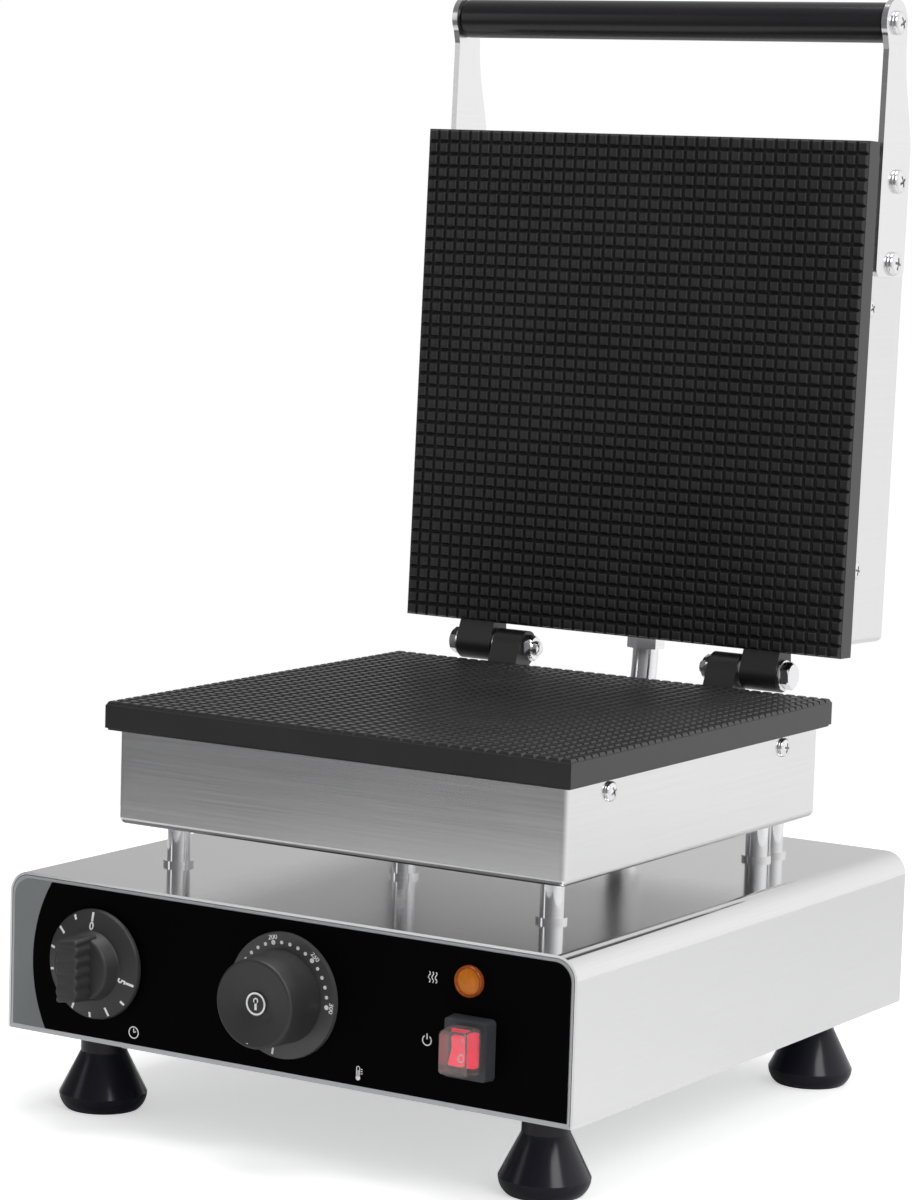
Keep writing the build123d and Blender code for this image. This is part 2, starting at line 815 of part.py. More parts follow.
# Switch: housing with its bezel, a rocker on a cross axis and a clear splash cap
bezel_width = 22.4
bezel_height = 27
bezel_reach = 6.7
bezel_corner = 2
bezel_taper = 5
rocker_width = 12
rocker_height = 16
rocker_side_gap = 0.5
rocker_end_gap = 1
rocker_pivot_depth = 4
switch_depth = 24
pocket_depth = 16
cap_width = 16.6
cap_height = 21.2
cap_reach = 11
cap_wall = 1
cap_corner = 3
cap_edge = 2
cap_taper = 6
pivot_radius = 1.5

with BuildPart() as switch_housing:
    with BuildSketch(front_plane(switch_x, switch_z)):
        RectangleRounded(bezel_width, bezel_height, bezel_corner)
    extrude(amount=bezel_reach, taper=bezel_taper)
    with BuildSketch(front_plane(switch_x, switch_z)):
        Rectangle(switch_body_width, switch_body_height)
    extrude(amount=-switch_depth)
    with BuildSketch(front_plane(switch_x, switch_z, bezel_reach)):
        Rectangle(rocker_width + 2 * rocker_side_gap, rocker_height + 2 * rocker_end_gap)
    extrude(amount=-pocket_depth, mode=Mode.SUBTRACT)
    pivot_y = front_y - bezel_reach + rocker_pivot_depth
    pivot_plane = Plane((switch_x, pivot_y, switch_z), x_dir=(0, 1, 0), z_dir=(1, 0, 0))
    with BuildSketch(pivot_plane):
        Circle(pivot_radius)
    extrude(amount=rocker_width / 2 + 2 * rocker_side_gap, both=True)
save(switch_housing, "switch_housing")

# Rocker: two sloping halves that meet in a valley over the pivot
rocker_tilt = 7
rocker_crest = 7
rocker_valley = 4.6
rocker_back = 3.2
rocker_back_half = 6
rocker_corner = 0.8
rocker_plane = Plane(
    pivot_plane.origin,
    x_dir=(0, cos(radians(rocker_tilt)), -sin(radians(rocker_tilt))),
    z_dir=(1, 0, 0),
)
with BuildPart() as switch_rocker:
    with BuildSketch(rocker_plane) as rocker_outline:
        with BuildLine():
            Polyline(
                (-rocker_crest, rocker_height / 2),
                (-rocker_valley, 0),
                (-rocker_crest, -rocker_height / 2),
                (rocker_back, -rocker_back_half),
                (rocker_back, rocker_back_half),
                close=True,
            )
        make_face()
        fillet(rocker_outline.vertices(), rocker_corner)
        Circle(pivot_radius + running_clearance, mode=Mode.SUBTRACT)
    extrude(amount=rocker_width / 2, both=True)
save(switch_rocker, "switch_rocker")

with BuildPart() as switch_cap:
    with BuildSketch(front_plane(switch_x, switch_z, bezel_reach)):
        RectangleRounded(cap_width, cap_height, cap_corner)
    extrude(amount=cap_reach, taper=cap_taper)
    cap_front = switch_cap.faces().sort_by(Axis.Y)[0]
    fillet(cap_front.edges(), cap_edge)
    with BuildSketch(front_plane(switch_x, switch_z, bezel_reach)):
        RectangleRounded(
            cap_width - 2 * cap_wall, cap_height - 2 * cap_wall, cap_corner - cap_wall
        )
    extrude(amount=cap_reach - cap_wall, taper=cap_taper, mode=Mode.SUBTRACT)
save(switch_cap, "switch_cap")

# Signal lamp: amber lens over a lamp body held from behind
lens_radius = 7
lens_reach = 2.6
lens_edge = 1.2
lamp_depth = 26

with BuildPart() as lamp_body:
    with BuildSketch(front_plane(lamp_x, lamp_z)):
        Circle(lamp_body_radius)
    extrude(amount=-lamp_depth)
save(lamp_body, "lamp_body")

with BuildPart() as lamp_lens:
    with BuildSketch(front_plane(lamp_x, lamp_z)):
        Circle(lens_radius)
    extrude(amount=lens_reach)
    fillet(lamp_lens.faces().sort_by(Axis.Y)[0].edges(), lens_edge)
save(lamp_lens, "lamp_lens")

# Terminal block on the tray and the cord inlet in the rear panel
terminal_x = -60
terminal_setback = 95
terminal_length = 50
terminal_depth = 20
terminal_height = 18
terminal_screw = 2
terminal_screw_depth = 6
pole_count = 5
pole_pitch = 9

with BuildPart() as terminal_block:
    with Locations((terminal_x, mid_y + terminal_setback, base_bottom + sheet)):
        Box(
            terminal_length,
            terminal_depth,
            terminal_height,
            align=(Align.CENTER, Align.CENTER, Align.MIN),
        )
    with Locations((terminal_x, mid_y + terminal_setback, base_bottom + sheet + terminal_height)):
        with GridLocations(pole_pitch, terminal_depth / 2, pole_count, 2):
            Hole(terminal_screw, depth=terminal_screw_depth)
save(terminal_block, "terminal_block")

gland_nut_radius = 14
gland_nut_height = 7
gland_dome_height = 12
gland_dome_radius = 11.5
gland_dome_taper = 12
cord_gland_tail = 12

with BuildPart() as cord_gland:
    with BuildSketch(rear_gland_plane.offset(touch_gap)):
        RegularPolygon(gland_nut_radius, 6)
    extrude(amount=gland_nut_height)
    with BuildSketch(rear_gland_plane.offset(gland_nut_height)):
        Circle(gland_dome_radius)
    extrude(amount=gland_dome_height, taper=gland_dome_taper)
    with BuildSketch(rear_gland_plane.offset(touch_gap)):
        Circle(cord_gland_thread)
    extrude(amount=-cord_gland_tail)
    gland_reach = gland_nut_height + gland_dome_height
    with BuildSketch(rear_gland_plane.offset(gland_reach)):
        Circle(cord_bore)
    extrude(amount=-gland_reach - cord_gland_tail, mode=Mode.SUBTRACT)
save(cord_gland, "cord_gland")

# Lid, made in its own axes: box, plate, heater, insulation
lid_mid_y = -hinge_setback
lid_box_rear = lid_mid_y + box_depth / 2
lid_gland_z = 26.3

arm_screw_front = lid_mid_y - 107
arm_screw_rear = lid_mid_y - 67
arm_screw_z = 30.3
arm_screw_radius = 3
arm_screw_length = 14
arm_screw_head = 5.9
arm_screw_head_height = 3.6
lid_screw_z = lid_plate_top + box_screw_drop
lid_screw_front = -45
lid_screw_rear = 83

upper_pan = heater_box(lid_box_top, lid_plate_top, lid, lid_mid_y)
with BuildPart() as upper_box:
    add(upper_pan.part)
    for lid_screw_y in (lid_screw_front, lid_screw_rear):
        with Locations(Plane(lid_point(0, lid_mid_y + lid_screw_y, lid_screw_z), z_dir=lid.x_dir)):
            Hole(box_screw_radius + touch_gap)
    for arm_screw_y in (arm_screw_front, arm_screw_rear):
        with Locations(Plane(lid_point(0, arm_screw_y, arm_screw_z), z_dir=lid.x_dir)):
            Hole(arm_screw_radius + touch_gap)
    with Locations(Plane(lid_point(0, lid_box_rear, lid_gland_z), z_dir=lid.y_dir)):
        Hole(gland_hole, depth=2 * sheet)
save(upper_box, "upper_box")

upper_slab = grid_slab(lid, lid_mid_y, lid_plate_top, lid_low)
upper_knuckles = knuckle_pair(
    lid_side_plane,
    upper_knuckle_inner,
    upper_knuckle_outer,
    plate_edge,
    lid_low + groove_depth,
    lid_plate_top,
)
with BuildPart() as upper_plate:
    add(upper_slab.part)
    add(upper_knuckles.part)
    with BuildSketch(lid.offset(lid_plate_top)):
        for side in (-1, 1):
            boss_x = side * (box_inner - fit_gap - boss_depth / 2)
            with Locations(
                (boss_x, lid_mid_y + lid_screw_front), (boss_x, lid_mid_y + lid_screw_rear)
            ):
                Rectangle(boss_depth, boss_width)
    extrude(amount=boss_height)
    for lid_screw_y in (lid_screw_front, lid_screw_rear):
        with Locations(Plane(lid_point(0, lid_mid_y + lid_screw_y, lid_screw_z), z_dir=lid.x_dir)):
            Hole(box_screw_radius + touch_gap)
save(upper_plate, "upper_plate")

upper_box_screws = pan_screw(
    [
        Plane(
            lid_point(side * box_width / 2, lid_mid_y + y, lid_screw_z),
            x_dir=lid.y_dir,
            z_dir=lid.x_dir * side,
        )
        for side in (-1, 1)
        for y in (lid_screw_front, lid_screw_rear)
    ],
    box_screw_radius,
    side_screw_length,
    box_screw_head,
    box_screw_head_height,
)
save(upper_box_screws, "upper_box_screws")

upper_heater = heater(lid, lid_mid_y, lid_plate_top + heater_radius + touch_gap, 1)
save(upper_heater, "upper_heater")

upper_insulation = insulation_slab(lid, lid_mid_y, lid_box_top - sheet - insulation_height)
save(upper_insulation, "upper_insulation")

# Handle arms: flat straps that narrow to an eye in front of the lid
arm_thickness = 3
arm_rear = lid_mid_y - 60.5
arm_low = 13.1
arm_high = 43.6
arm_taper_start = lid_mid_y - 123
arm_neck_y = lid_mid_y - 170
arm_neck_high = 32.6
eye_radius = 11.5
eye_y = lid_mid_y - 183
eye_z = 20.5
grip_screw_radius = 3
arm_corner = 4

for side_name, side in (("left", -1), ("right", 1)):
    arm_start = box_width / 2 if side > 0 else -box_width / 2 - arm_thickness
    with BuildPart() as arm:
        with BuildSketch(lid_side_plane(arm_start)) as arm_outline:
            with BuildLine():
                Polyline(
                    (arm_neck_y, arm_low),
                    (arm_rear, arm_low),
                    (arm_rear, arm_high),
                    (arm_taper_start, arm_high),
                )
                Spline(
                    (arm_taper_start, arm_high),
                    (arm_neck_y, arm_neck_high),
                    tangents=((-1, -0.15), (-1, -0.05)),
                )
                Line((arm_neck_y, arm_neck_high), (arm_neck_y, arm_low))
            make_face()
            with Locations((eye_y, eye_z)):
                Circle(eye_radius)
            with BuildLine():
                Polyline(
                    (eye_y, eye_z + eye_radius),
                    (arm_neck_y, arm_neck_high),
                    (arm_neck_y, arm_low),
                    (eye_y, eye_z - eye_radius),
                    close=True,
                )
            make_face()
            rear_corners = arm_outline.vertices().group_by(Axis.X)[-1]
            fillet(rear_corners, arm_corner)
            with Locations((eye_y, eye_z)):
                Circle(grip_screw_radius + touch_gap, mode=Mode.SUBTRACT)
            with Locations((arm_screw_front, arm_screw_z), (arm_screw_rear, arm_screw_z)):
                Circle(arm_screw_radius + touch_gap, mode=Mode.SUBTRACT)
        extrude(amount=arm_thickness)
    save(arm, f"arm_{side_name}")

arm_outer = box_width / 2 + arm_thickness
arm_screws = pan_screw(
    [
        Plane(
            lid_point(side * arm_outer, y, arm_screw_z),
            x_dir=lid.y_dir,
            z_dir=lid.x_dir * side,
        )
        for side in (-1, 1)
        for y in (arm_screw_front, arm_screw_rear)
    ],
    arm_screw_radius,
    arm_screw_length,
    arm_screw_head,
    arm_screw_head_height,
)
save(arm_screws, "arm_screws")

# Nuts of the arm screws, inside the lid box
with BuildPart() as arm_nuts:
    for side in (-1, 1):
        for arm_screw_y in (arm_screw_front, arm_screw_rear):
            nut_start = Plane(
                lid_point(side * (box_inner - touch_gap), arm_screw_y, arm_screw_z),
                x_dir=lid.y_dir,
                z_dir=lid.x_dir * -side,
            )
            with BuildSketch(nut_start):
                RegularPolygon(nut_radius, 6)
                Circle(arm_screw_radius + touch_gap, mode=Mode.SUBTRACT)
            extrude(amount=nut_height)
save(arm_nuts, "arm_nuts")

# Grip: a turned bar between the arms, screwed from both ends
grip_radius = 9.75
grip_length = box_width - 2 * touch_gap
grip_chamfer = 1.5
grip_screw_depth = 22
grip_screw_length = 20
grip_screw_head = 5.5

with BuildPart() as grip:
    with BuildSketch(Plane(lid_point(0, eye_y, eye_z), z_dir=lid.x_dir)):
        Circle(grip_radius)
    extrude(amount=grip_length / 2, both=True)
    ends = grip.faces().group_by(Axis.X)
    chamfer(ends[0].edges() + ends[-1].edges(), grip_chamfer)
    for side in (-1, 1):
        end_place = Plane(lid_point(side * grip_length / 2, eye_y, eye_z), z_dir=lid.x_dir * side)
        with BuildSketch(end_place):
            Circle(grip_screw_radius + touch_gap)
        extrude(amount=-grip_screw_depth, mode=Mode.SUBTRACT)
save(grip, "grip")

grip_screws = pan_screw(
    [
        Plane(lid_point(side * arm_outer, eye_y, eye_z), x_dir=lid.y_dir, z_dir=lid.x_dir * side)
        for side in (-1, 1)
    ],
    grip_screw_radius,
    grip_screw_length,
    grip_screw_head,
    arm_screw_head_height,
)
save(grip_screws, "grip_screws")

# Glands of the hose that carries the lid's wires
hose_gland_hex = 9.5
hose_gland_length = 13
hose_gland_flange = 10
hose_gland_flange_height = 1.6
gland_tail = 8


def hose_gland(place):
    """A threaded gland: flange, hexagon, tail with a nut's depth inside the wall."""
    with BuildPart() as gland:
        with BuildSketch(place.offset(touch_gap)):
            Circle(hose_gland_flange)
        extrude(amount=hose_gland_flange_height)
        with BuildSketch(place.offset(hose_gland_flange_height)):
            RegularPolygon(hose_gland_hex, 6)
        extrude(amount=hose_gland_length - hose_gland_flange_height)
        with BuildSketch(place.offset(touch_gap)):
            Circle(gland_thread)
        extrude(amount=-gland_tail)
        with BuildSketch(place.offset(hose_gland_length)):
            Circle(hose_bore)
        extrude(amount=-hose_gland_length - gland_tail, mode=Mode.SUBTRACT)
    return gland


lid_gland_plane = Plane(lid_point(0, lid_box_rear, lid_gland_z), z_dir=lid.y_dir)
base_gland_plane = Plane((0, hose_base_y, base_top))
save(hose_gland(lid_gland_plane), "hose_gland_lid")
save(hose_gland(base_gland_plane), "hose_gland_base")

# Hose: leaves both glands square to them and crosses over in one gentle double bend
hose_top = lid_gland_plane.offset(hose_gland_length).origin
hose_bottom = base_gland_plane.offset(hose_gland_length).origin
hose_run = 22
hose_bend = 45
hose_route = [
    hose_bottom,
    hose_bottom + base_gland_plane.z_dir * hose_run,
    hose_top + lid_gland_plane.z_dir * hose_run,
    hose_top,
]
with BuildPart() as lid_hose:
    with BuildLine() as hose_path:
        FilletPolyline(*hose_route, radius=hose_bend)
    with BuildSketch(Plane(hose_bottom, z_dir=(0, 0, 1))):
        Circle(hose_radius)
        Circle(hose_bore, mode=Mode.SUBTRACT)
    sweep(path=hose_path.line)
save(lid_hose, "lid_hose")
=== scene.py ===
import json
from math import atan2, cos, hypot, pi, radians, sin

import bmesh
import bpy
from mathutils import Matrix, Vector


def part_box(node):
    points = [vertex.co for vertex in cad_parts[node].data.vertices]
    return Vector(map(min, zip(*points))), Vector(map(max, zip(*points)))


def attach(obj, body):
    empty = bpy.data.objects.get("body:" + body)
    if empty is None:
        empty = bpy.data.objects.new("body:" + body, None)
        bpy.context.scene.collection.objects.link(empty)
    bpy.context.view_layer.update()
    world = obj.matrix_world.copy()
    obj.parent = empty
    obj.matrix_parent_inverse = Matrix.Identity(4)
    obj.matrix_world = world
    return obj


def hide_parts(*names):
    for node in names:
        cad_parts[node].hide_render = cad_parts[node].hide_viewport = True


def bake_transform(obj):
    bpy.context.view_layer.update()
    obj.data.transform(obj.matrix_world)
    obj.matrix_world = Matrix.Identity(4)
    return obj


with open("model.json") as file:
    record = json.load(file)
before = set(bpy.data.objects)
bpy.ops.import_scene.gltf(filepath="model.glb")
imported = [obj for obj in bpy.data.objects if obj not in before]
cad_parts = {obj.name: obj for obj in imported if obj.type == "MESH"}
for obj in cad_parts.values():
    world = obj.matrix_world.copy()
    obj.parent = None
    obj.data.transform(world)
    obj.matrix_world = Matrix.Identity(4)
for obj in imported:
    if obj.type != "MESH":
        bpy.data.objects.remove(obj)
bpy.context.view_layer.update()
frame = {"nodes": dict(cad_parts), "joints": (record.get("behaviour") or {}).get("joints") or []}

mm = 0.001

# Driving places, read from the frame
joint_at = {joint["name"]: Vector(joint["pos_m"]) for joint in frame["joints"]}
hinge = joint_at["lid_hinge"]
timer = joint_at["timer_turn"]
thermostat = joint_at["thermostat_turn"]
rocker = joint_at["rocker_tilt"]
lamp_low, lamp_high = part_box("lamp_lens")
lamp = (lamp_low + lamp_high) / 2
front_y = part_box("panel_overlay")[0].y
open_angle = radians(92)
base_frame = Matrix.Translation(hinge)
lid_frame = base_frame @ Matrix.Rotation(-open_angle, 4, "X")


# Shader helpers

class Wire:
    """A number socket: arithmetic on it adds Math nodes to its tree."""

    def __init__(self, finish, socket):
        self.finish = finish
        self.socket = socket

    def math(self, operation, *values):
        return self.finish.node("ShaderNodeMath", {"operation": operation}, *values)

    def __add__(self, other):
        return self.math("ADD", self, other)

    def __sub__(self, other):
        return self.math("SUBTRACT", self, other)

    def __rsub__(self, other):
        return self.math("SUBTRACT", other, self)

    def __mul__(self, other):
        return self.math("MULTIPLY", self, other)

    def __gt__(self, other):
        return self.math("GREATER_THAN", self, other)

    def __lt__(self, other):
        return self.math("LESS_THAN", self, other)

    def __pow__(self, other):
        return self.math("POWER", self, other)

    __radd__ = __add__
    __rmul__ = __mul__


class Finish:
    """One material or world: its main shader and the nodes that feed it."""

    def __init__(self, name, owner=None, **constants):
        self.block = owner or bpy.data.materials.new(name)
        self.block.use_nodes = True
        self.tree = self.block.node_tree
        nodes = self.tree.nodes
        self.shader = nodes.get("Principled BSDF") or nodes.get("Background")
        for label, value in constants.items():
            self.set(label.replace("_", " "), value)

    def feed(self, socket, value):
        """Links a socket or sets its value; a colour comes without its alpha."""
        if isinstance(value, Wire):
            self.tree.links.new(value.socket, socket)
        elif hasattr(value, "__len__") and len(socket.default_value) > len(value):
            socket.default_value = (*value, 1)
        else:
            socket.default_value = value

    def node(self, kind, settings=None, *values, out=None, **named):
        """Adds a node: settings first, then the values or links of its sockets."""
        made = self.tree.nodes.new(kind)
        for setting, value in (settings or {}).items():
            if setting == "stops":
                self.set_stops(made.color_ramp.elements, value)
            else:
                setattr(made, setting, value)
        for socket, value in zip(self.open_ones(made.inputs), values):
            self.feed(socket, value)
        for label, value in named.items():
            self.feed(made.inputs[label.replace("_", " ")], value)
        return Wire(self, made.outputs[out] if out else self.open_ones(made.outputs)[0])

    def open_ones(self, sockets):
        """The sockets that a node has in its present mode."""
        return [socket for socket in sockets if socket.enabled]

    def set_stops(self, elements, stops):
        """Sets a ramp's (place, colour) stops: both ends, then those between them."""
        for element, (place, colour) in ((elements[0], stops[0]), (elements[1], stops[-1])):
            element.position = place
            element.color = (*colour, 1)
        for place, colour in stops[1:-1]:
            elements.new(place).color = (*colour, 1)

    def place(self, stretch=(1, 1, 1)):
        """Object coordinates in metres, stretched along each axis."""
        spot = self.node("ShaderNodeTexCoord", out="Object")
        return self.node("ShaderNodeMapping", None, spot, Scale=stretch)

    def noise(self, where, scale, detail=3.0, roughness=0.5):
        return self.node(
            "ShaderNodeTexNoise", None, out="Fac",
            Vector=where, Scale=scale, Detail=detail, Roughness=roughness,
        )

    def mix(self, factor, first, second):
        """Blends two colours."""
        return self.node("ShaderNodeMix", {"data_type": "RGBA"}, factor, first, second)

    def between(self, value, low, high, to_low, to_high):
        """Maps the range low..high onto to_low..to_high."""
        return self.node("ShaderNodeMapRange", None, value, low, high, to_low, to_high)

    def bump(self, height, strength, distance):
        """Relief in the shading only."""
        self.set("Normal", self.node(
            "ShaderNodeBump", None, Strength=strength, Distance=distance, Height=height
        ))

    def set(self, label, value):
        self.feed(self.shader.inputs[label], value)


def darker(tone, share):
    return [channel * share for channel in tone]


# Finishes

def steel(name, tone, roughness, streak=0.05):
    """Ground sheet steel: level grinding lines with faint clouds of handling."""
    finish = Finish(name, Metallic=1.0)
    lines = finish.noise(finish.place((14, 14, 1100)), 1.0, 2.0)
    cloud = finish.noise(finish.place(), 7.0)
    worn = finish.between(lines * 0.55 + cloud * 0.45, 0.3, 0.7, -1, 1)
    finish.set("Base Color", finish.mix(worn * 0.4 + 0.5, darker(tone, 0.94), tone))
    finish.set("Roughness", worn * streak + roughness)
    finish.bump(lines, 0.02, 0.02 * mm)
    return finish.block


def cast_iron():
    """Seasoned black casting: fine sand grain under an oiled skin."""
    finish = Finish("black_casting")
    grain = finish.noise(finish.place(), 1400.0, 3.0, 0.6)
    patch = finish.noise(finish.place(), 26.0)
    finish.set("Base Color", finish.mix(patch, (0.012, 0.012, 0.013), (0.024, 0.024, 0.025)))
    finish.set("Roughness", patch * 0.14 + grain * 0.08 + 0.26)
    finish.bump(grain, 0.3, 0.08 * mm)
    return finish.block


def plastic(name, tone, roughness, grain=0.1, **constants):
    """Moulded plastic with a faint surface ripple."""
    finish = Finish(name, **constants)
    fine = finish.noise(finish.place(), 900.0, 2.0)
    broad = finish.noise(finish.place(), 30.0, 2.0)
    lifted = [min(1, channel * 1.25 + 0.002) for channel in tone]
    finish.set("Base Color", finish.mix(broad, tone, lifted))
    finish.set("Roughness", broad * 0.06 + fine * 0.04 + roughness)
    finish.bump(fine, grain, 0.05 * mm)
    return finish.block


def chrome(name, tone=(0.82, 0.82, 0.83), roughness=0.08):
    """Plated turned metal with faint turning marks."""
    finish = Finish(name, Metallic=1.0)
    marks = finish.noise(finish.place((60, 60, 1500)), 1.0, 2.0)
    finish.set("Base Color", finish.mix(marks, darker(tone, 0.9), tone))
    finish.set("Roughness", marks * 0.08 + roughness)
    return finish.block


def print_film():
    """The control overlay: black, with a grey field left of one wide arc."""
    finish = Finish("overlay_print", Specular_IOR_Level=0.02)
    arc_x, arc_z, arc_radius = -66.64 * mm, 73.43 * mm, 70.77 * mm
    field_edge = -110 * mm
    where = finish.node("ShaderNodeTexCoord", out="Object")
    x = finish.node("ShaderNodeSeparateXYZ", None, where, out="X")
    z = finish.node("ShaderNodeSeparateXYZ", None, where, out="Z")
    off_x = x - arc_x
    off_z = z - arc_z
    apart = (off_x * off_x + off_z * off_z) ** 0.5
    grey = (apart > arc_radius) * (x < field_edge)
    fine = finish.noise(finish.place(), 700.0, 2.0)
    finish.set("Base Color", finish.mix(grey, (0.0015, 0.0015, 0.0015), (0.25, 0.265, 0.27)))
    finish.set("Roughness", fine * 0.1 + 0.5)
    return finish.block


def glowing(name, tone, glow, strength, scale):
    """Lit plastic, cloudy inside."""
    finish = Finish(name, Specular_IOR_Level=0.3, Emission_Strength=strength)
    cloud = finish.noise(finish.place(), scale)
    finish.set("Base Color", finish.mix(cloud, tone, darker(tone, 0.6)))
    finish.set("Emission Color", finish.mix(cloud, glow, darker(glow, 0.5)))
    finish.set("Roughness", cloud * 0.1 + 0.18)
    return finish.block


def clear_plastic():
    """The clear splash cap."""
    finish = Finish("clear_cap", IOR=1.46, Transmission_Weight=0.93)
    haze = finish.noise(finish.place(), 160.0)
    finish.set("Base Color", finish.mix(haze, (0.97, 0.93, 0.91), (0.86, 0.8, 0.78)))
    finish.set("Roughness", haze * 0.06 + 0.01)
    return finish.block


def fibre(name, tone, scale):
    """Felted mineral mat."""
    finish = Finish(name, Roughness=0.95)
    strands = finish.noise(finish.place((1, 1, 4)), scale, 6.0, 0.7)
    finish.set("Base Color", finish.mix(strands, tone, darker(tone, 0.6)))
    finish.bump(strands, 0.8, 0.6 * mm)
    return finish.block


base_steel = steel("base_steel", (0.76, 0.76, 0.76), 0.11, 0.02)
box_steel = steel("box_steel", (0.74, 0.74, 0.74), 0.22, 0.03)
panel_steel = steel("panel_steel", (0.5, 0.51, 0.52), 0.34)
strap_steel = steel("strap_steel", (0.78, 0.78, 0.78), 0.2)
casting = cast_iron()
bright_plate = chrome("bright_plate")
zinc_plate = chrome("zinc_plate", (0.6, 0.61, 0.64), 0.25)
foot_plastic = plastic(
    "foot_plastic", (0.007, 0.007, 0.013), 0.16, 0.03, Specular_IOR_Level=0.28
)
grip_plastic = plastic("grip_plastic", (0.01, 0.01, 0.011), 0.2, 0.05)
knob_plastic = plastic("knob_plastic", (0.022, 0.022, 0.022), 0.42, 0.25)
dial_plastic = plastic("dial_plastic", (0.06, 0.06, 0.06), 0.3, 0.12)
bezel_plastic = plastic("bezel_plastic", (0.035, 0.037, 0.042), 0.38, 0.15)
gland_plastic = plastic("gland_plastic", (0.02, 0.02, 0.02), 0.4, 0.2)
case_plastic = plastic("case_plastic", (0.72, 0.7, 0.64), 0.5)
print_ink = plastic("print_ink", (0.86, 0.86, 0.86), 0.5, 0.02)
overlay_print = print_film()
lamp_glow = glowing("lamp_glow", (0.46, 0.13, 0.006), (0.55, 0.16, 0.01), 0.4, 420.0)
lamp_rim = glowing("lamp_rim", (0.3, 0.06, 0.008), (0.4, 0.08, 0.01), 0.12, 420.0)
rocker_glow = glowing("rocker_glow", (0.85, 0.02, 0.05), (1.0, 0.04, 0.1), 0.9, 120.0)
cap_clear = clear_plastic()
heater_skin = steel("heater_skin", (0.3, 0.29, 0.27), 0.5)
mineral_mat = fibre("mineral_mat", (0.8, 0.78, 0.7), 400.0)


# Mesh helpers

def polar(radius, turn):
    """A point at a radius and an angle."""
    return radius * cos(turn), radius * sin(turn)


def around(radius, steps):
    """Evenly spaced points of a circle."""
    return [polar(radius, 2 * pi * step / steps) for step in range(steps)]


def new_object(name, mesh, finish):
    """A finished piece at the origin, with its place in its mesh."""
    piece = bpy.data.objects.new(name, mesh)
    bpy.context.scene.collection.objects.link(piece)
    mesh.materials.clear()
    mesh.materials.append(finish)
    return piece


def smooth_by_angle(mesh, limit=35):
    """Smooth shading with crisp edges past the given angle."""
    work = bmesh.new()
    work.from_mesh(mesh)
    for face in work.faces:
        face.smooth = True
    for edge in work.edges:
        if len(edge.link_faces) == 2 and edge.calc_face_angle() > radians(limit):
            edge.smooth = False
    work.to_mesh(mesh)
    work.free()


def mesh_from(name, work, place=None, smooth=35):
    """Turns a bmesh into a mesh with clean normals, moved to its place."""
    bmesh.ops.remove_doubles(work, verts=work.verts, dist=mm / 1000)
    bmesh.ops.recalc_face_normals(work, faces=work.faces)
    mesh = bpy.data.meshes.new(name)
    work.to_mesh(mesh)
    work.free()
    if place is not None:
        mesh.transform(place)
    smooth_by_angle(mesh, smooth)
    return mesh


def piece_from(name, work, finish, place=None, smooth=35):
    """Turns a bmesh into a finished piece."""
    return new_object(name, mesh_from(name, work, place, smooth), finish)


def joined(name, meshes, finish):
    """One piece made of several meshes."""
    work = bmesh.new()
    for mesh in meshes:
        work.from_mesh(mesh)
    mesh = bpy.data.meshes.new(name)
    work.to_mesh(mesh)
    work.free()
    return new_object(name, mesh, finish)


def evaluated_mesh(piece):
    """The mesh of an object after its modifiers or curve settings."""
    bpy.context.view_layer.update()
    graph = bpy.context.evaluated_depsgraph_get()
    return bpy.data.meshes.new_from_object(piece.evaluated_get(graph))


def baked(piece):
    """Applies a piece's modifiers and removes them."""
    mesh = evaluated_mesh(piece)
    piece.modifiers.clear()
    piece.data = mesh
    return piece


def traced(name, curve):
    """The mesh of a curve or text, without its object."""
    drawn = bpy.data.objects.new(name, curve)
    bpy.context.scene.collection.objects.link(drawn)
    mesh = evaluated_mesh(drawn)
    bpy.data.objects.remove(drawn)
    return mesh


def box_in(work, low, high):
    """Adds a plain block between two corners."""
    corners = [
        work.verts.new((x, y, z))
        for x in (low[0], high[0]) for y in (low[1], high[1]) for z in (low[2], high[2])
    ]
    bmesh.ops.convex_hull(work, input=corners)


def skin(work, rings):
    """Adds the side faces between rings of one count."""
    for lower, upper in zip(rings, rings[1:]):
        for k in range(len(lower)):
            after = (k + 1) % len(lower)
            work.faces.new((lower[k], lower[after], upper[after], upper[k]))


def turned(profile, steps=48):
    """A body of revolution about Z from (radius, height) pairs."""
    work = bmesh.new()
    rings = [
        [work.verts.new((x, y, height)) for x, y in around(radius, steps if radius else 1)]
        for radius, height in profile
    ]
    for lower, upper in zip(rings, rings[1:]):
        for k in range(steps):
            after = (k + 1) % steps
            ring = [lower[k % len(lower)], lower[after % len(lower)],
                    upper[after % len(upper)], upper[k % len(upper)]]
            corners = list(dict.fromkeys(ring))
            if len(corners) > 2:
                work.faces.new(corners)
    return work


# Geometry Nodes trees for what repeats

def node_tree(name, inputs):
    """An empty Geometry Nodes tree with named inputs."""
    tree = bpy.data.node_groups.new(name, "GeometryNodeTree")
    tree.interface.new_socket("Geometry", in_out="INPUT", socket_type="NodeSocketGeometry")
    for label, kind in inputs:
        tree.interface.new_socket(label, in_out="INPUT", socket_type="NodeSocket" + kind)
    tree.interface.new_socket("Geometry", in_out="OUTPUT", socket_type="NodeSocketGeometry")
    return tree, tree.nodes.new("NodeGroupInput"), tree.nodes.new("NodeGroupOutput")


def finish_tree(tree, source, target, shape):
    """Ends a tree with real geometry in the chosen material."""
    real = tree.nodes.new("GeometryNodeRealizeInstances")
    paint = tree.nodes.new("GeometryNodeSetMaterial")
    tree.links.new(shape, real.inputs[0])
    tree.links.new(real.outputs[0], paint.inputs["Geometry"])
    tree.links.new(source.outputs["Material"], paint.inputs["Material"])
    tree.links.new(paint.outputs[0], target.inputs[0])


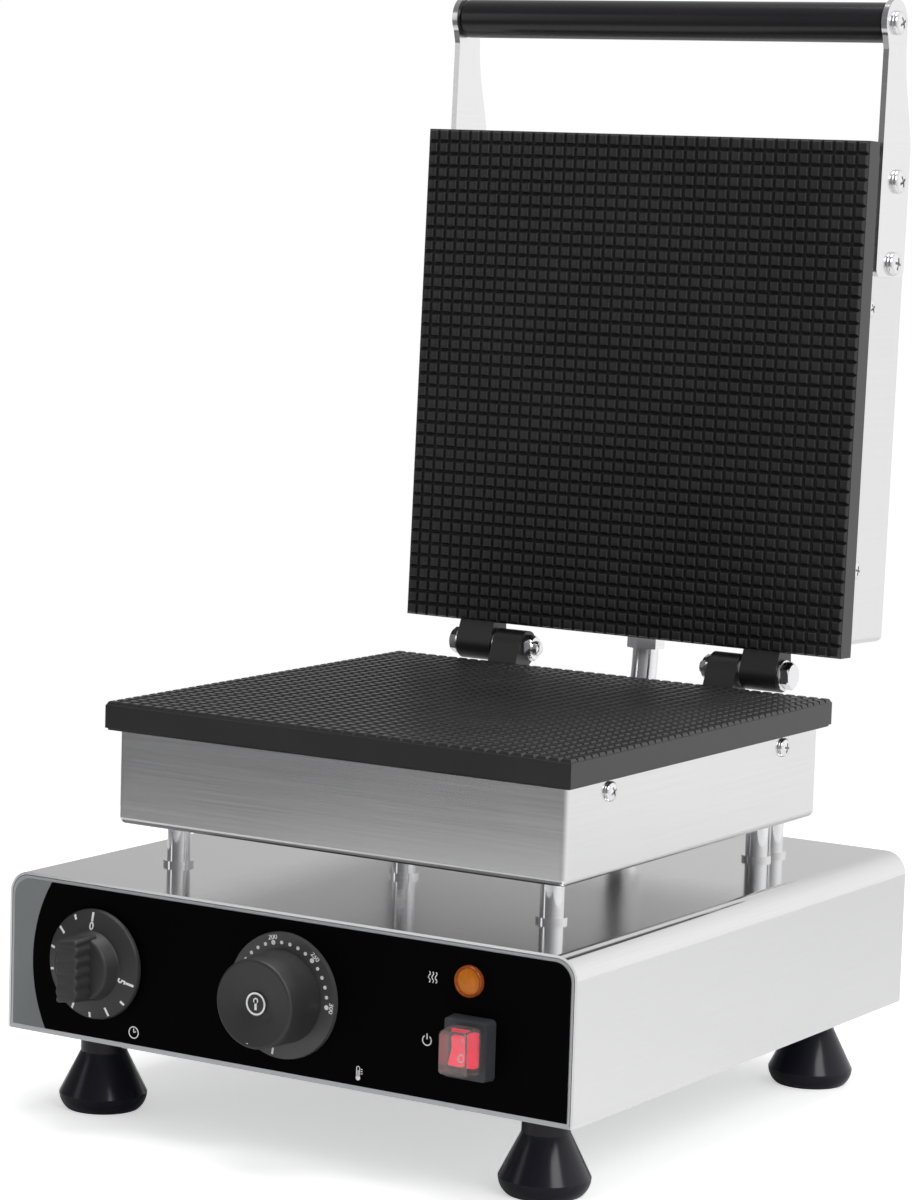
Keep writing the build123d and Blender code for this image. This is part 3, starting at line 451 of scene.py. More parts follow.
def run_tree(piece, tree, **values):
    """Runs a tree on a piece with the given inputs, and bakes it."""
    modifier = piece.modifiers.new(tree.name, "NODES")
    modifier.node_group = tree
    for item in tree.interface.items_tree:
        if item.in_out == "INPUT" and item.name in values:
            modifier[item.identifier] = values[item.name]
    return baked(piece)


def spread_on(tree, source, points):
    """Sets the tree's Shape input on points and returns the node."""
    info = tree.nodes.new("GeometryNodeObjectInfo")
    tree.links.new(source.outputs["Shape"], info.inputs["Object"])
    spread = tree.nodes.new("GeometryNodeInstanceOnPoints")
    tree.links.new(points, spread.inputs["Points"])
    tree.links.new(info.outputs["Geometry"], spread.inputs["Instance"])
    return spread


def field_tree():
    """A square field of one shape: its count and span are inputs."""
    tree, source, target = node_tree(
        "field_of_shapes",
        [("Shape", "Object"), ("Count", "Int"), ("Span", "Float"), ("Material", "Material")],
    )
    grid = tree.nodes.new("GeometryNodeMeshGrid")
    for axis in ("X", "Y"):
        tree.links.new(source.outputs["Span"], grid.inputs[f"Size {axis}"])
        tree.links.new(source.outputs["Count"], grid.inputs[f"Vertices {axis}"])
    spread = spread_on(tree, source, grid.outputs["Mesh"])
    finish_tree(tree, source, target, spread.outputs[0])
    return tree


def marks_tree():
    """One shape set on each mark, turned as the mark says."""
    tree, source, target = node_tree(
        "shape_on_marks", [("Shape", "Object"), ("Size", "Float"), ("Material", "Material")]
    )
    turn = tree.nodes.new("GeometryNodeInputNamedAttribute")
    turn.data_type = "FLOAT_VECTOR"
    turn.inputs["Name"].default_value = "turn"
    rotation = tree.nodes.new("FunctionNodeEulerToRotation")
    tree.links.new(turn.outputs["Attribute"], rotation.inputs[0])
    spread = spread_on(tree, source, source.outputs["Geometry"])
    tree.links.new(rotation.outputs[0], spread.inputs["Rotation"])
    tree.links.new(source.outputs["Size"], spread.inputs["Scale"])
    finish_tree(tree, source, target, spread.outputs[0])
    return tree


grid_maker = field_tree()
mark_setter = marks_tree()


def set_on_marks(name, shape, places, finish):
    """Sets a shape on each place, a matrix, as one piece."""
    marks = bpy.data.meshes.new(name)
    marks.from_pydata([place.translation for place in places], [], [])
    turns = marks.attributes.new("turn", "FLOAT_VECTOR", "POINT")
    for mark, place in zip(turns.data, places):
        mark.vector = place.to_euler()
    piece = bpy.data.objects.new(name, marks)
    bpy.context.scene.collection.objects.link(piece)
    run_tree(piece, mark_setter, Shape=shape, Size=1.0, Material=finish)
    smooth_by_angle(piece.data)
    return piece


# Cooking plates: slab, hinge knuckles and the full grid, in the hinge's own axes

plate_half = 125 * mm
hinge_setback = 136.5 * mm
hinge_rise = 6.9 * mm
plates_gap = 0.6 * mm
plate_thickness = 13.5 * mm
back_bevel = 1 * mm
grid_count = 40
grid_pitch = 2 * plate_half / grid_count
groove_depth = 1.8 * mm
groove_floor = 0.3 * mm
casting_crease = 32
knuckle_radius = 8.5 * mm
knuckle_steps = 36
web_foot = 1.2 * mm
base_knuckle = (54 * mm, 70.5 * mm)
lid_knuckle = (72 * mm, 92 * mm)


def blunt_pyramid():
    """One pyramid of the grid, standing on z = 0, with rounded shoulders."""
    work = bmesh.new()
    foot = grid_pitch / 2
    levels = [
        (foot, 0), (foot - groove_floor, 0.16 * mm), (2.25 * mm, 1.3 * mm),
        (2.02 * mm, 1.6 * mm), (1.72 * mm, 1.76 * mm), (1.4 * mm, groove_depth),
    ]
    square = ((-1, -1), (1, -1), (1, 1), (-1, 1))
    rings = [
        [work.verts.new((x * half, y * half, height)) for x, y in square]
        for half, height in levels
    ]
    skin(work, rings)
    work.faces.new(rings[-1])
    mesh = bpy.data.meshes.new("blunt_pyramid")
    work.to_mesh(mesh)
    work.free()
    smooth_by_angle(mesh, casting_crease)
    return new_object("blunt_pyramid", mesh, casting)


pyramid = blunt_pyramid()


def grid_plate(name, ground, face, back, knuckle, web, place):
    """A plate in hinge axes: ground and face of its grid, its back, its knuckles."""
    grid_piece = new_object(name, bpy.data.meshes.new(name), casting)
    run_tree(
        grid_piece, grid_maker, Shape=pyramid,
        Count=grid_count, Span=grid_pitch * (grid_count - 1), Material=casting,
    )
    facing = Matrix.Identity(4) if face > back else Matrix.Rotation(pi, 4, "X")
    grid_piece.data.transform(Matrix.Translation((0, -hinge_setback, ground)) @ facing)
    work = bmesh.new()
    rear_edge = -hinge_setback + plate_half
    front_edge = -hinge_setback - plate_half
    box_in(work, (-plate_half, front_edge, ground), (plate_half, rear_edge, back))
    back_edges = [
        edge for edge in work.edges
        if all(abs(vertex.co.z - back) < mm / 10 for vertex in edge.verts)
        and edge.calc_face_angle(0) > 1
    ]
    bmesh.ops.bevel(work, geom=back_edges, offset=back_bevel, segments=3, affect="EDGES")
    inner, outer = knuckle
    for start, end in ((inner, outer), (-outer, -inner)):
        hull = []
        for x in (start, end):
            hull += [work.verts.new((x, y, z)) for y, z in around(knuckle_radius, knuckle_steps)]
            hull += [work.verts.new((x, rear_edge - back_bevel, height)) for height in web]
        bmesh.ops.convex_hull(work, input=hull)
    work.from_mesh(grid_piece.data)
    bpy.data.objects.remove(grid_piece)
    mesh = bpy.data.meshes.new(name)
    work.to_mesh(mesh)
    work.free()
    mesh.transform(place)
    smooth_by_angle(mesh, casting_crease)
    return new_object(name, mesh, casting)


lower_back = -hinge_rise - plate_thickness
lower_ground = -hinge_rise - groove_depth
lower_grid_plate = grid_plate(
    "lower_grid_plate", lower_ground, -hinge_rise, lower_back,
    base_knuckle, (lower_back + web_foot, lower_ground), base_frame,
)
lid_face = plates_gap - hinge_rise
lid_ground = lid_face + groove_depth
lid_back = lid_face + plate_thickness
upper_grid_plate = grid_plate(
    "upper_grid_plate", lid_ground, lid_face, lid_back,
    lid_knuckle, (lid_ground, lid_back), lid_frame,
)
bpy.data.objects.remove(pyramid)
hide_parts("lower_plate")
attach(lower_grid_plate, "base")
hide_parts("upper_plate")
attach(upper_grid_plate, "lid")


# Hinge bolts and nuts: a flanged head outside the knuckles, the nut inside them

def hexagon(work, radius, low, high, crown):
    """Adds a hexagonal block whose high end is turned to a chamfer."""
    corners = [
        work.verts.new((x, y, height))
        for height, reach, steps in (
            (low, radius, 6), (high - crown, radius, 6), (high, radius * 0.86, 24),
        )
        for x, y in around(reach, steps)
    ]
    bmesh.ops.convex_hull(work, input=corners)


def round_bar(work, radius, low, high, crown):
    """Adds a round bar whose high end is domed."""
    corners = [
        work.verts.new((x, y, height))
        for height, reach in (
            (low, radius), (high - crown, radius),
            (high - crown * 0.4, radius * 0.85), (high - crown * 0.1, radius * 0.5),
        )
        for x, y in around(reach, 24)
    ]
    corners.append(work.verts.new((0, 0, high)))
    bmesh.ops.convex_hull(work, input=corners)


hinge_hex = 6.9 * mm
nut_hex = hinge_hex * 0.96
flange_radius = 7.6 * mm
flange_start, head_start, head_end = 92.3 * mm, 93.9 * mm, 97.8 * mm
nut_start, nut_end = -53.8 * mm, -49.2 * mm
thread_radius = 3.9 * mm
thread_start, thread_end = -75 * mm, -46.2 * mm
for side_name, side in (("left", -1), ("right", 1)):
    outwards = base_frame @ Matrix.Rotation(side * pi / 2, 4, "Y")
    inwards = base_frame @ Matrix.Rotation(-side * pi / 2, 4, "Y")
    work = bmesh.new()
    round_bar(work, flange_radius, flange_start, head_start, 0.5 * mm)
    hexagon(work, hinge_hex, head_start, head_end, 0.7 * mm)
    bolt = piece_from(f"hinge_bolt_{side_name}_dressed", work, bright_plate, outwards, 30)
    work = bmesh.new()
    hexagon(work, nut_hex, nut_start, nut_end, 0.8 * mm)
    round_bar(work, thread_radius, thread_start, thread_end, 2.2 * mm)
    nut = piece_from(f"hinge_nut_{side_name}_dressed", work, bright_plate, inwards, 30)
    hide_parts(f"hinge_bolt_{side_name}")
    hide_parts(f"hinge_nut_{side_name}")
    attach(bolt, "base")
    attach(nut, "base")


# Pan-head screws: domed heads with a cross recess, set where the CAD screws are

def screw_head(radius, height):
    """A domed head with a pressed cross, standing on z = 0."""
    dome_foot = height * 0.35
    dome_steps = 6
    dome = []
    for step in range(dome_steps):
        reach, rise = polar(1, pi / 2 * step / dome_steps)
        dome.append((radius * reach, dome_foot + (height - dome_foot) * rise))
    rim = [(0, 0), (radius * 0.97, 0), (radius, height * 0.1)]
    head = piece_from("screw_head", turned([*rim, *dome, (0, height)], 28), bright_plate)
    cutter = bmesh.new()
    reach, width, depth = radius * 0.5, radius * 0.11, height * 0.55
    box_in(cutter, (-reach, -width, height - depth), (reach, width, height + depth))
    box_in(cutter, (-width, -reach, height - depth), (width, reach, height + depth))
    cross = piece_from("cross", cutter, bright_plate)
    cut = head.modifiers.new("cross", "BOOLEAN")
    cut.operation = "DIFFERENCE"
    cut.object = cross
    cut.solver = "EXACT"
    cut.use_self = True
    baked(head)
    bpy.data.objects.remove(cross)
    smooth_by_angle(head.data)
    return head


def facing_side(point, side, axes, turn):
    """A mark on a side face: its z points out of that side."""
    out = Matrix.Rotation(side * pi / 2, 4, "Y") @ Matrix.Rotation(turn, 4, "Z")
    return axes @ Matrix.Translation(point) @ out


def screw_row(x, z, *rows):
    """Screw places on the right side; rows are measured from the plates' middle."""
    return [(x, row * mm - hinge_setback, z) for row in rows]


box_half = 120.5 * mm
arm_outer = 123.5 * mm
box_screw_drop = 6 * mm
arm_screw_z = 30.3 * mm
grip_z = 20.5 * mm
first_turn, next_turn = 0.5, 0.9
small_head = screw_head(4.6 * mm, 2.6 * mm)
large_head = screw_head(5.9 * mm, 3.5 * mm)

screw_sets = [
    ("lower_box_screw_heads", "lower_box_screws", "base", small_head, base_frame,
     screw_row(box_half, lower_back - box_screw_drop, -83, 83)),
    ("upper_box_screw_heads", "upper_box_screws", "lid", small_head, lid_frame,
     screw_row(box_half, lid_back + box_screw_drop, -45, 83)),
    ("arm_screw_heads", "arm_screws", "lid", large_head, lid_frame,
     screw_row(arm_outer, arm_screw_z, -107, -67)),
    ("grip_screw_heads", "grip_screws", "lid", large_head, lid_frame,
     screw_row(arm_outer, grip_z, -183)),
]
for name, node, body, head, axes, spots in screw_sets:
    places = [
        facing_side((side * x, y, z), side, axes, first_turn + index * next_turn)
        for side in (-1, 1) for index, (x, y, z) in enumerate(spots)
    ]
    heads = set_on_marks(name, head, places, bright_plate)
    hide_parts(node)
    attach(heads, body)
for helper in (small_head, large_head):
    bpy.data.objects.remove(helper)


# Printing on the front: flat shapes a hair proud of the surface

ink_thickness = 0.12 * mm
print_lift = 0.02 * mm


def front_place(x, z, out=0.0):
    """A place on the control face: x right, y up, z out towards the viewer."""
    return Matrix.Translation((x, front_y - out, z)) @ Matrix.Rotation(pi / 2, 4, "X")


def flat_bar(work, start, end, width):
    """A straight stroke between two points."""
    start, end = Vector((*start, 0)), Vector((*end, 0))
    across = (end - start).normalized().cross(Vector((0, 0, 1))) * width / 2
    corners = [
        work.verts.new(point + Vector((0, 0, height)))
        for height in (0, ink_thickness)
        for point in (start + across, end + across, end - across, start - across)
    ]
    bmesh.ops.convex_hull(work, input=corners)


def flat_arc(work, centre, radius, width, start, end, steps=32):
    """A curved stroke about a centre, from one angle to another in degrees."""
    turns = [radians(start + (end - start) * step / steps) for step in range(steps + 1)]
    points = [Vector(centre) + Vector(polar(radius, turn)) for turn in turns]
    for near, far in zip(points, points[1:]):
        flat_bar(work, near, far, width)


def flat_disc(work, centre, radius, steps=20):
    """A round dot."""
    corners = [
        work.verts.new((centre[0] + x, centre[1] + y, height))
        for height in (0, ink_thickness) for x, y in around(radius, steps)
    ]
    bmesh.ops.convex_hull(work, input=corners)


def finish_print(name, work, place, body):
    """A printed mark that rides a body."""
    piece = piece_from(name, work, print_ink, place)
    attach(piece, body)
    return piece


def clock_sign():
    work = bmesh.new()
    hand = 0.45 * mm
    flat_arc(work, (0, 0), 2.6 * mm, 0.5 * mm, 0, 360)
    flat_bar(work, (0, 0), (0, 1.8 * mm), hand)
    flat_bar(work, (0, 0), (1.3 * mm, 0.6 * mm), hand)
    return work


def thermometer_sign():
    work = bmesh.new()
    wall, tube_low, tube_top, tube_half = 0.35 * mm, -1.0 * mm, 2.3 * mm, 0.8 * mm
    flat_disc(work, (0, -2.0 * mm), 1.15 * mm)
    flat_bar(work, (0, -1.5 * mm), (0, 1.4 * mm), 0.5 * mm)
    for x in (-tube_half, tube_half):
        flat_bar(work, (x, tube_low), (x, tube_top), wall)
    flat_arc(work, (0, tube_top), tube_half, wall, 0, 180, 12)
    for level in (0, 1, 2):
        flat_bar(work, (1.4 * mm, level * mm), (2.3 * mm, level * mm), 0.3 * mm)
    return work


def heat_sign():
    work = bmesh.new()
    spacing, sway, half_height, steps = 1.7 * mm, 0.45 * mm, 2.4 * mm, 12
    for column in (-spacing, 0, spacing):
        points = [
            (column + sway * sin(step * pi / 4), half_height * (2 * step / steps - 1))
            for step in range(steps + 1)
        ]
        for start, end in zip(points, points[1:]):
            flat_bar(work, start, end, 0.42 * mm)
    return work


def power_sign():
    work = bmesh.new()
    stroke = 0.5 * mm
    flat_arc(work, (0, 0), 2.2 * mm, stroke, 125, 415)
    flat_bar(work, (0, 0.4 * mm), (0, 3.0 * mm), stroke)
    return work


sign_drop = 29 * mm
signs = [
    ("timer_sign", clock_sign, timer.x + 21 * mm, timer.z - sign_drop),
    ("temperature_sign", thermometer_sign, thermostat.x + 40 * mm, thermostat.z - sign_drop),
    ("heat_sign", heat_sign, lamp.x - 19 * mm, lamp.z - 1 * mm),
    ("power_sign", power_sign, rocker.x - 23.4 * mm, rocker.z - 0.5 * mm),
]
for name, maker, x, z in signs:
    finish_print(name, maker(), front_place(x, z), "base")


def number_on_ring(text, height, radius, turn, stroke):
    """A printed number on a ring, its top away from the centre; stroke fattens it."""
    letters = bpy.data.curves.new(text, "FONT")
    letters.body = text
    letters.size = height
    letters.align_x = "CENTER"
    letters.align_y = "CENTER"
    letters.extrude = ink_thickness / 2
    letters.offset = stroke
    letters.resolution_u = 3
    mesh = traced(text, letters)
    spot = Matrix.Translation((*polar(radius, turn), 0))
    mesh.transform(spot @ Matrix.Rotation(turn - pi / 2, 4, "Z"))
    return mesh


def drape(mesh, height_at):
    """Lifts flat printing onto a turned face: height is a function of radius."""
    for vertex in mesh.vertices:
        vertex.co.z += height_at(hypot(vertex.co.x, vertex.co.y))


# Timer knob: skirt with its scale, round hub and a bar grip with ribbed flanks

control_reach = 24 * mm
skirt_radius = 25.5 * mm
skirt_back = 1.2 * mm
slope_outer, slope_inner = skirt_radius - 1.0 * mm, 16.3 * mm
slope_low, slope_high = skirt_back + 2.8 * mm, skirt_back + 4.6 * mm
hub_face = 14.4 * mm
bar_corner = 1.4 * mm
rib_count = 5.5
rib_points = 60
tick_step = 25.4
tick_outer = 24.3 * mm
long_tick_inner, short_tick_inner = 20.2 * mm, 21.9 * mm


def ribbed_outline(half_width, half_length, wave):
    """A rounded rectangle whose long sides are ribbed, as (x, y) pairs."""
    run = half_length - bar_corner
    side = []
    for step in range(rib_points + 1):
        y = run * (2 * step / rib_points - 1)
        side.append((half_width + wave * cos(pi * rib_count * y / run), y))
    end = [
        (half_width - bar_corner * (1 - cos(turn)), run + bar_corner * sin(turn))
        for turn in (radians(30), radians(60), radians(90))
    ]
    half = side + end
    return half + [(-x, -y) for x, y in half]


def timer_knob():
    profile = [
        (0, skirt_back), (skirt_radius - 0.4 * mm, skirt_back),
        (skirt_radius, skirt_back + 0.5 * mm), (skirt_radius - 0.3 * mm, skirt_back + 2.0 * mm),
        (slope_outer, slope_low), (slope_inner, slope_high),
        (15.9 * mm, skirt_back + 5.2 * mm), (15.2 * mm, hub_face - 1.4 * mm),
        (14.5 * mm, hub_face - 0.3 * mm), (13.6 * mm, hub_face), (0, hub_face),
    ]
    levels = [
        (10 * mm, 6.6 * mm, 15.6 * mm, 0.45 * mm), (22.4 * mm, 5.6 * mm, 14.9 * mm, 0.45 * mm),
        (23.5 * mm, 5.3 * mm, 14.6 * mm, 0.35 * mm), (control_reach, 4.7 * mm, 14 * mm, 0.2 * mm),
    ]
    bar = bmesh.new()
    rings = [
        [bar.verts.new((x, y, height)) for x, y in ribbed_outline(half_width, half_length, wave)]
        for height, half_width, half_length, wave in levels
    ]
    skin(bar, rings)
    bar.faces.new(rings[0])
    bar.faces.new(rings[-1])
    meshes = [
        mesh_from("timer_knob_body", turned(profile, 96), None, 40),
        mesh_from("timer_grip_bar", bar, None, 40),
    ]
    dressed = joined("timer_knob_dressed", meshes, knob_plastic)
    dressed.data.transform(front_place(timer.x, timer.z))
    return dressed


def skirt_height_at(radius):
    share = (slope_outer - radius) / (slope_outer - slope_inner)
    return slope_low + share * (slope_high - slope_low)


knob = timer_knob()
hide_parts("timer_knob")
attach(knob, "timer")

work = bmesh.new()
for index in range(11):
    turn = radians(90 + index * tick_step)
    inner = short_tick_inner if index % 2 else long_tick_inner
    flat_bar(work, polar(inner, turn), polar(tick_outer, turn), 1.1 * mm)
meshes = [mesh_from("timer_scale_ticks", work)]
for index, text in ((0, "0"), (10, "5")):
    turn = radians(90 + index * tick_step)
    meshes.append(number_on_ring(text, 5 * mm, 18 * mm, turn, 0.12 * mm))
timer_scale = joined("timer_scale", meshes, print_ink)
drape(timer_scale.data, skirt_height_at)
timer_scale.data.transform(front_place(timer.x, timer.z))
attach(timer_scale, "timer")


# Thermostat: printed dial and a round knob with a dished face

dial_zero = 261.0
dial_step = 10.6
dial_height = 2.2 * mm
dial_edge = 27.4 * mm
dial_edge_slope = 1.6
first_dot, last_dot = 10, 25
numbered = {15: "200", 20: "250", 25: "300"}
dot_ring = 24 * mm
dot_radius, large_dot_radius = 0.85 * mm, 1.1 * mm
zero_turn = radians(dial_zero)


def dial_turn(index):
    return radians(dial_zero - index * dial_step)


def dial_height_at(radius):
    return dial_height - max(0, radius - dial_edge) * dial_edge_slope + print_lift


work = bmesh.new()
for index in range(first_dot, last_dot + 1):
    size = large_dot_radius if index in numbered else dot_radius
    flat_disc(work, polar(dot_ring, dial_turn(index)), size, 14)
flat_bar(work, polar(dot_ring, zero_turn), polar(27 * mm, zero_turn), 1.0 * mm)
meshes = [mesh_from("thermostat_dots", work)]
for index, text in numbered.items():
    meshes.append(number_on_ring(text, 3.3 * mm, 26.4 * mm, dial_turn(index), 0.06 * mm))
dial_print = joined("thermostat_scale", meshes, print_ink)
drape(dial_print.data, dial_height_at)
dial_print.data.transform(front_place(thermostat.x, thermostat.z))
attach(dial_print, "base")

knob_radius = 21 * mm
knob_back = 2.8 * mm
dish_floor = 22 * mm
knob_rim = 23.7 * mm


def thermostat_knob():
    profile = [
        (0, knob_back), (knob_radius, knob_back), (knob_radius - 0.4 * mm, 10 * mm),
        (knob_radius - 0.9 * mm, 22.6 * mm), (knob_radius - 1.2 * mm, 23.4 * mm),
        (knob_radius - 1.8 * mm, control_reach), (knob_radius - 2.4 * mm, control_reach),
        (knob_radius - 3.2 * mm, knob_rim), (12 * mm, 23.1 * mm), (9.5 * mm, 22.2 * mm),
        (7 * mm, 21.5 * mm), (5.6 * mm, 21.4 * mm), (5.4 * mm, 21.9 * mm), (0, dish_floor),
    ]
    place = front_place(thermostat.x, thermostat.z)
    return piece_from("thermostat_knob_dressed", turned(profile, 96), knob_plastic, place, 50)


knob = thermostat_knob()
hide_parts("thermostat_knob")
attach(knob, "thermostat")

work = bmesh.new()
flat_arc(work, (0, 0), 4.7 * mm, 0.9 * mm, 0, 360, 40)
flat_bar(work, (0, -2.8 * mm), (0, 2.0 * mm), 1.2 * mm)
flat_disc(work, (0, 1.4 * mm), 1.3 * mm)
mark_place = front_place(thermostat.x, thermostat.z, dish_floor)
finish_print("thermostat_mark", work, mark_place, "thermostat")

work = bmesh.new()
index_outer = 18.8 * mm
index_inner = index_outer * 0.95
flat_bar(work, polar(index_inner, zero_turn), polar(index_outer, zero_turn), 1.0 * mm)
index_place = front_place(thermostat.x, thermostat.z, knob_rim)
finish_print("thermostat_index", work, index_place, "thermostat")


# Signal lamp: a domed amber lens in its darker rim

lens_radius, rim_radius = 5.7 * mm, 7 * mm
lamp_back = 0.1 * mm
lens_edge = 1.5 * mm
lens_profile = [
    (0, lamp_back), (lens_radius, lamp_back), (lens_radius, lens_edge),
    (4.4 * mm, 1.9 * mm), (2.4 * mm, 2.2 * mm), (0, 2.3 * mm),
]
rim_profile = [
    (lens_radius, lamp_back), (rim_radius, lamp_back), (rim_radius, 1.6 * mm),
    (6.8 * mm, 2.3 * mm), (6.4 * mm, 2.6 * mm), (6.0 * mm, 2.4 * mm),
    (lens_radius, lens_edge), (lens_radius, lamp_back),
]
lamp_place = front_place(lamp.x, lamp.z)
lens = piece_from("lamp_lens_dressed", turned(lens_profile, 64), lamp_glow, lamp_place, 50)
rim = piece_from("lamp_rim_dressed", turned(rim_profile, 64), lamp_rim, lamp_place, 50)
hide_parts("lamp_lens")
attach(lens, "base")
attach(rim, "base")


# Marks on the two halves of the rocker

rest_tilt = radians(-7)
half_height = 8 * mm
half_slope = atan2(2.4 * mm, half_height)
half_middle = 5.8 * mm
rocker_axes = Matrix.Translation(rocker) @ Matrix.Rotation(rest_tilt, 4, "X")


def rocker_face(side):
    """A place on one half of the rocker: side 1 is the upper half."""
    middle = Vector((0, -(half_middle + print_lift), side * half_height / 2))
    stand = Matrix.Rotation(pi / 2 + side * half_slope, 4, "X")
    return rocker_axes @ Matrix.Translation(middle) @ stand


work = bmesh.new()
flat_bar(work, (0, -1.9 * mm), (0, 1.9 * mm), 1.0 * mm)
finish_print("rocker_on_mark", work, rocker_face(1), "rocker")
work = bmesh.new()
flat_arc(work, (0, 0), 1.6 * mm, 0.8 * mm, 0, 360, 24)
finish_print("rocker_off_mark", work, rocker_face(-1), "rocker")


# Steel hose from the lid's gland to the base's gland, in one smooth bend

box_depth_half = 120 * mm
lid_gland_length = 13 * mm
lid_gland_z = 26.3 * mm
hose_radius = 6.5 * mm
hose_steps = 28
hose_rings = 60
straight_run = 22 * mm


def smooth_route(points):
    """Points along a curve that leaves both ends straight."""
    curve = bpy.data.curves.new("lid_hose_path", "CURVE")
    curve.dimensions = "3D"
    spline = curve.splines.new("NURBS")
    spline.points.add(len(points) - 1)
    for point, place in zip(spline.points, points):
        point.co = (*place, 1)
    spline.order_u = 3
    spline.use_endpoint_u = True
    curve.resolution_u = 24
    return [vertex.co.copy() for vertex in traced("lid_hose_path", curve).vertices]


def spaced(route, count):
    """Evenly spaced (centre, heading) pairs along a route."""
    reached = [0.0]
    for start, end in zip(route, route[1:]):
        reached.append(reached[-1] + (end - start).length)
    segment = 0
    for k in range(count + 1):
        along = reached[-1] * k / count
        while segment < len(route) - 2 and reached[segment + 1] < along:
            segment += 1
        start, end = route[segment], route[segment + 1]
        share = (along - reached[segment]) / (reached[segment + 1] - reached[segment])
        yield start.lerp(end, share), (end - start).normalized()


def hose():
    gland_low, gland_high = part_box("hose_gland_base")
    bottom = Vector((0, (gland_low.y + gland_high.y) / 2, gland_high.z))
    top_y = -hinge_setback + box_depth_half + lid_gland_length
    top = lid_frame @ Vector((0, top_y, lid_gland_z))
    out = (lid_frame.to_3x3() @ Vector((0, 1, 0))).normalized()
    points = [bottom, bottom + Vector((0, 0, straight_run)), top + out * straight_run, top]
    work = bmesh.new()
    side = Vector((1, 0, 0))
    rings = []
    for centre, heading in spaced(smooth_route(points), hose_rings):
        up = heading.cross(side).normalized()
        rings.append([
            work.verts.new(centre + side * x + up * y)
            for x, y in around(hose_radius, hose_steps)
        ])
    skin(work, rings)
    work.faces.new(rings[0])
    work.faces.new(rings[-1])
    piece = piece_from("lid_hose_dressed", work, bright_plate, None, 60)
    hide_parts("lid_hose")
    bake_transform(piece)


hose()


# Finishes of the pieces kept from the frame

finishes = {
    base_steel: ["base_shell"],
    box_steel: ["lower_box", "upper_box"],
    strap_steel: ["arm_left", "arm_right"],
    panel_steel: ["front_panel", "rear_panel", "bottom_plate"],
    bright_plate: [
        "spacer_posts", "post_collars", "wiring_tube_centre", "wiring_tube_rear",
        "hinge_bolt_left", "hinge_bolt_right", "hinge_nut_left", "hinge_nut_right",
        "hinge_washer_left", "hinge_washer_right", "hose_gland_lid", "hose_gland_base",
    ],
    zinc_plate: ["foot_screws", "foot_nuts", "panel_screws", "post_nuts", "arm_nuts"],
    foot_plastic: ["foot_front_left", "foot_front_right", "foot_rear_left", "foot_rear_right"],
    grip_plastic: ["grip"],
    dial_plastic: ["thermostat_dial"],
    bezel_plastic: ["switch_housing"],
    gland_plastic: ["cord_gland"],
    case_plastic: ["timer_body", "thermostat_body", "lamp_body", "terminal_block"],
    overlay_print: ["panel_overlay"],
    rocker_glow: ["switch_rocker"],
    cap_clear: ["switch_cap"],
    heater_skin: ["lower_heater", "upper_heater"],
    mineral_mat: ["lower_insulation", "upper_insulation"],
}
for finish, names in finishes.items():
    for name in names:
        mesh = frame["nodes"][name].data
        mesh.materials.clear()
        mesh.materials.append(finish)


# Floor and soft studio light; only the camera sees the background as white

floor_radius = 0.8
floor_lift = 0.52
bright_side = (0.7, 0.7, 0.1)


def pale_floor():
    work = bmesh.new()
    work.faces.new([work.verts.new((x, y, 0)) for x, y in around(floor_radius, 96)])
    finish = Finish("pale_floor", Roughness=0.9, Emission_Strength=1.0)
    grain = finish.noise(finish.place(), 60.0, 2.0)
    finish.set("Base Color", finish.mix(grain, (0.86, 0.86, 0.86), (0.84, 0.84, 0.84)))
    ray = finish.node("ShaderNodeLightPath", out="Is Camera Ray")
    finish.set("Emission Color", finish.mix(ray, (0, 0, 0), (floor_lift,) * 3))
    piece = piece_from("pale_floor", work, finish.block)


pale_floor()

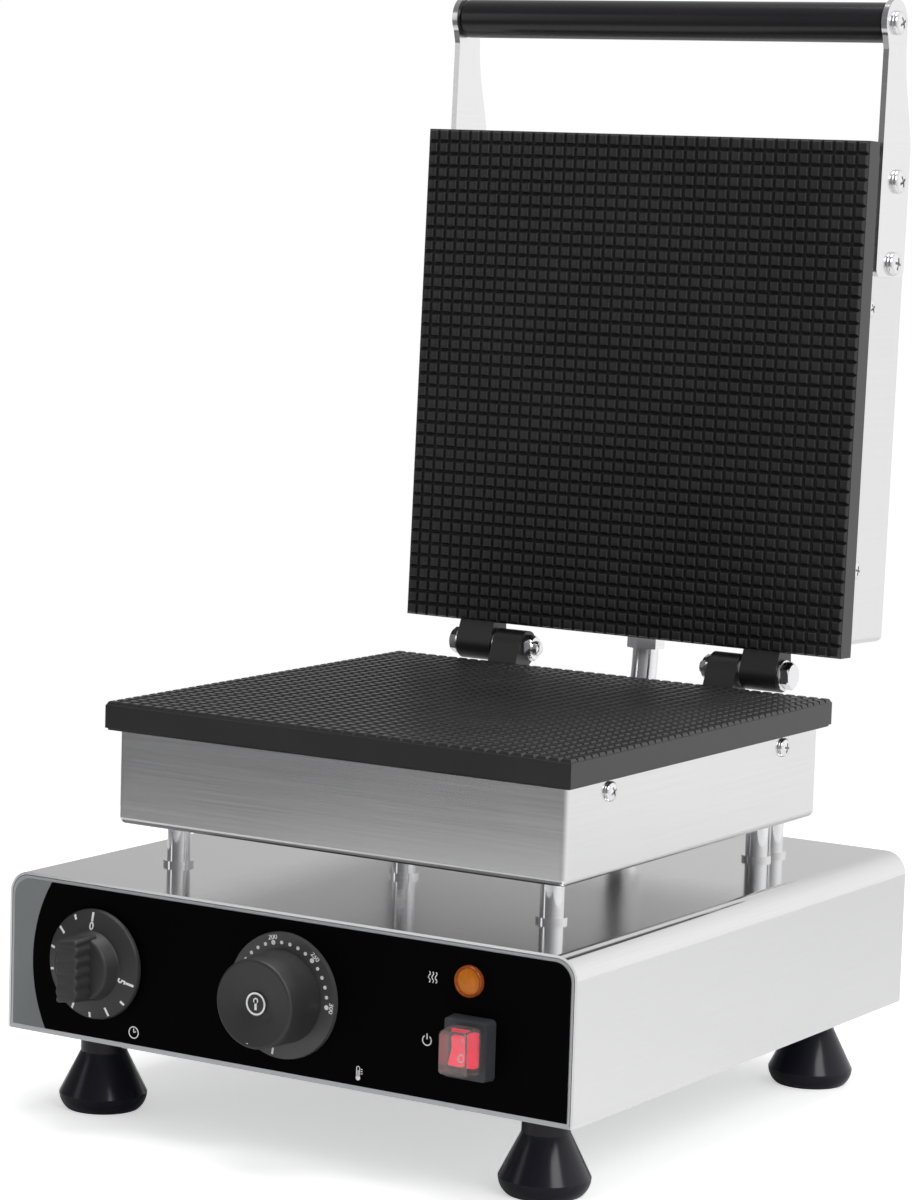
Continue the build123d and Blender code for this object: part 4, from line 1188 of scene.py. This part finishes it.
world = bpy.data.worlds.new("studio")
bpy.context.scene.world = world
studio = Finish("studio", world)
heading = studio.node("ShaderNodeTexCoord", out="Generated")
facing = studio.node("ShaderNodeVectorMath", {"operation": "DOT_PRODUCT"}, heading, bright_side)
sky_stops = [
    (0.0, (0.17, 0.17, 0.175)), (0.3, (0.26, 0.26, 0.27)),
    (0.6, (0.56, 0.56, 0.56)), (1.0, (1.12, 1.12, 1.12)),
]
level = studio.between(facing, -1, 1, 0, 1)
sky = studio.node("ShaderNodeValToRGB", {"stops": sky_stops}, level)
camera_ray = studio.node("ShaderNodeLightPath", out="Is Camera Ray")
studio.set("Color", studio.mix(camera_ray, sky, (1, 1, 1)))


def softbox(name, place, size, power):
    """A square of soft light aimed at the middle of the machine."""
    lamp_data = bpy.data.lights.new(name, "AREA")
    lamp_data.shape = "RECTANGLE"
    lamp_data.size, lamp_data.size_y = size
    lamp_data.energy = power
    holder = bpy.data.objects.new(name, lamp_data)
    bpy.context.scene.collection.objects.link(holder)
    holder.location = place
    aim = Vector((0, 0, 0.2)) - Vector(place)
    holder.rotation_euler = aim.to_track_quat("-Z", "Y").to_euler()


softbox("key_light", (1.6, -0.8, 1.4), (0.9, 0.9), 14)
softbox("fill_light", (-1.4, -1.5, 0.8), (0.5, 1.2), 2)
softbox("top_light", (0.1, 0.1, 2.2), (1.1, 1.1), 21)


# Camera, solved from the corners of the base, the plates and the lid in the photo

base_half_depth = 160 * mm
yaw, pitch, roll = radians(31.8142), radians(6.7207), radians(1.7329)
camera_place = (0.94175, front_y + base_half_depth - 1.53908, 0.45035)
camera_data = bpy.data.cameras.new("camera")
camera_data.lens = 115.47
camera_data.sensor_width = 36
camera = bpy.data.objects.new("camera", camera_data)
bpy.context.scene.collection.objects.link(camera)
back = Vector((sin(yaw) * cos(pitch), -cos(yaw) * cos(pitch), sin(pitch)))
level_right = (-back).cross(Vector((0, 0, 1))).normalized()
level_up = level_right.cross(-back)
right = level_right * cos(roll) + level_up * sin(roll)
up = level_up * cos(roll) - level_right * sin(roll)
aim = Matrix((right, up, back)).transposed().to_4x4()
camera.matrix_world = Matrix.Translation(camera_place) @ aim
bpy.context.scene.camera = camera
bpy.context.scene.view_settings.view_transform = "Standard"
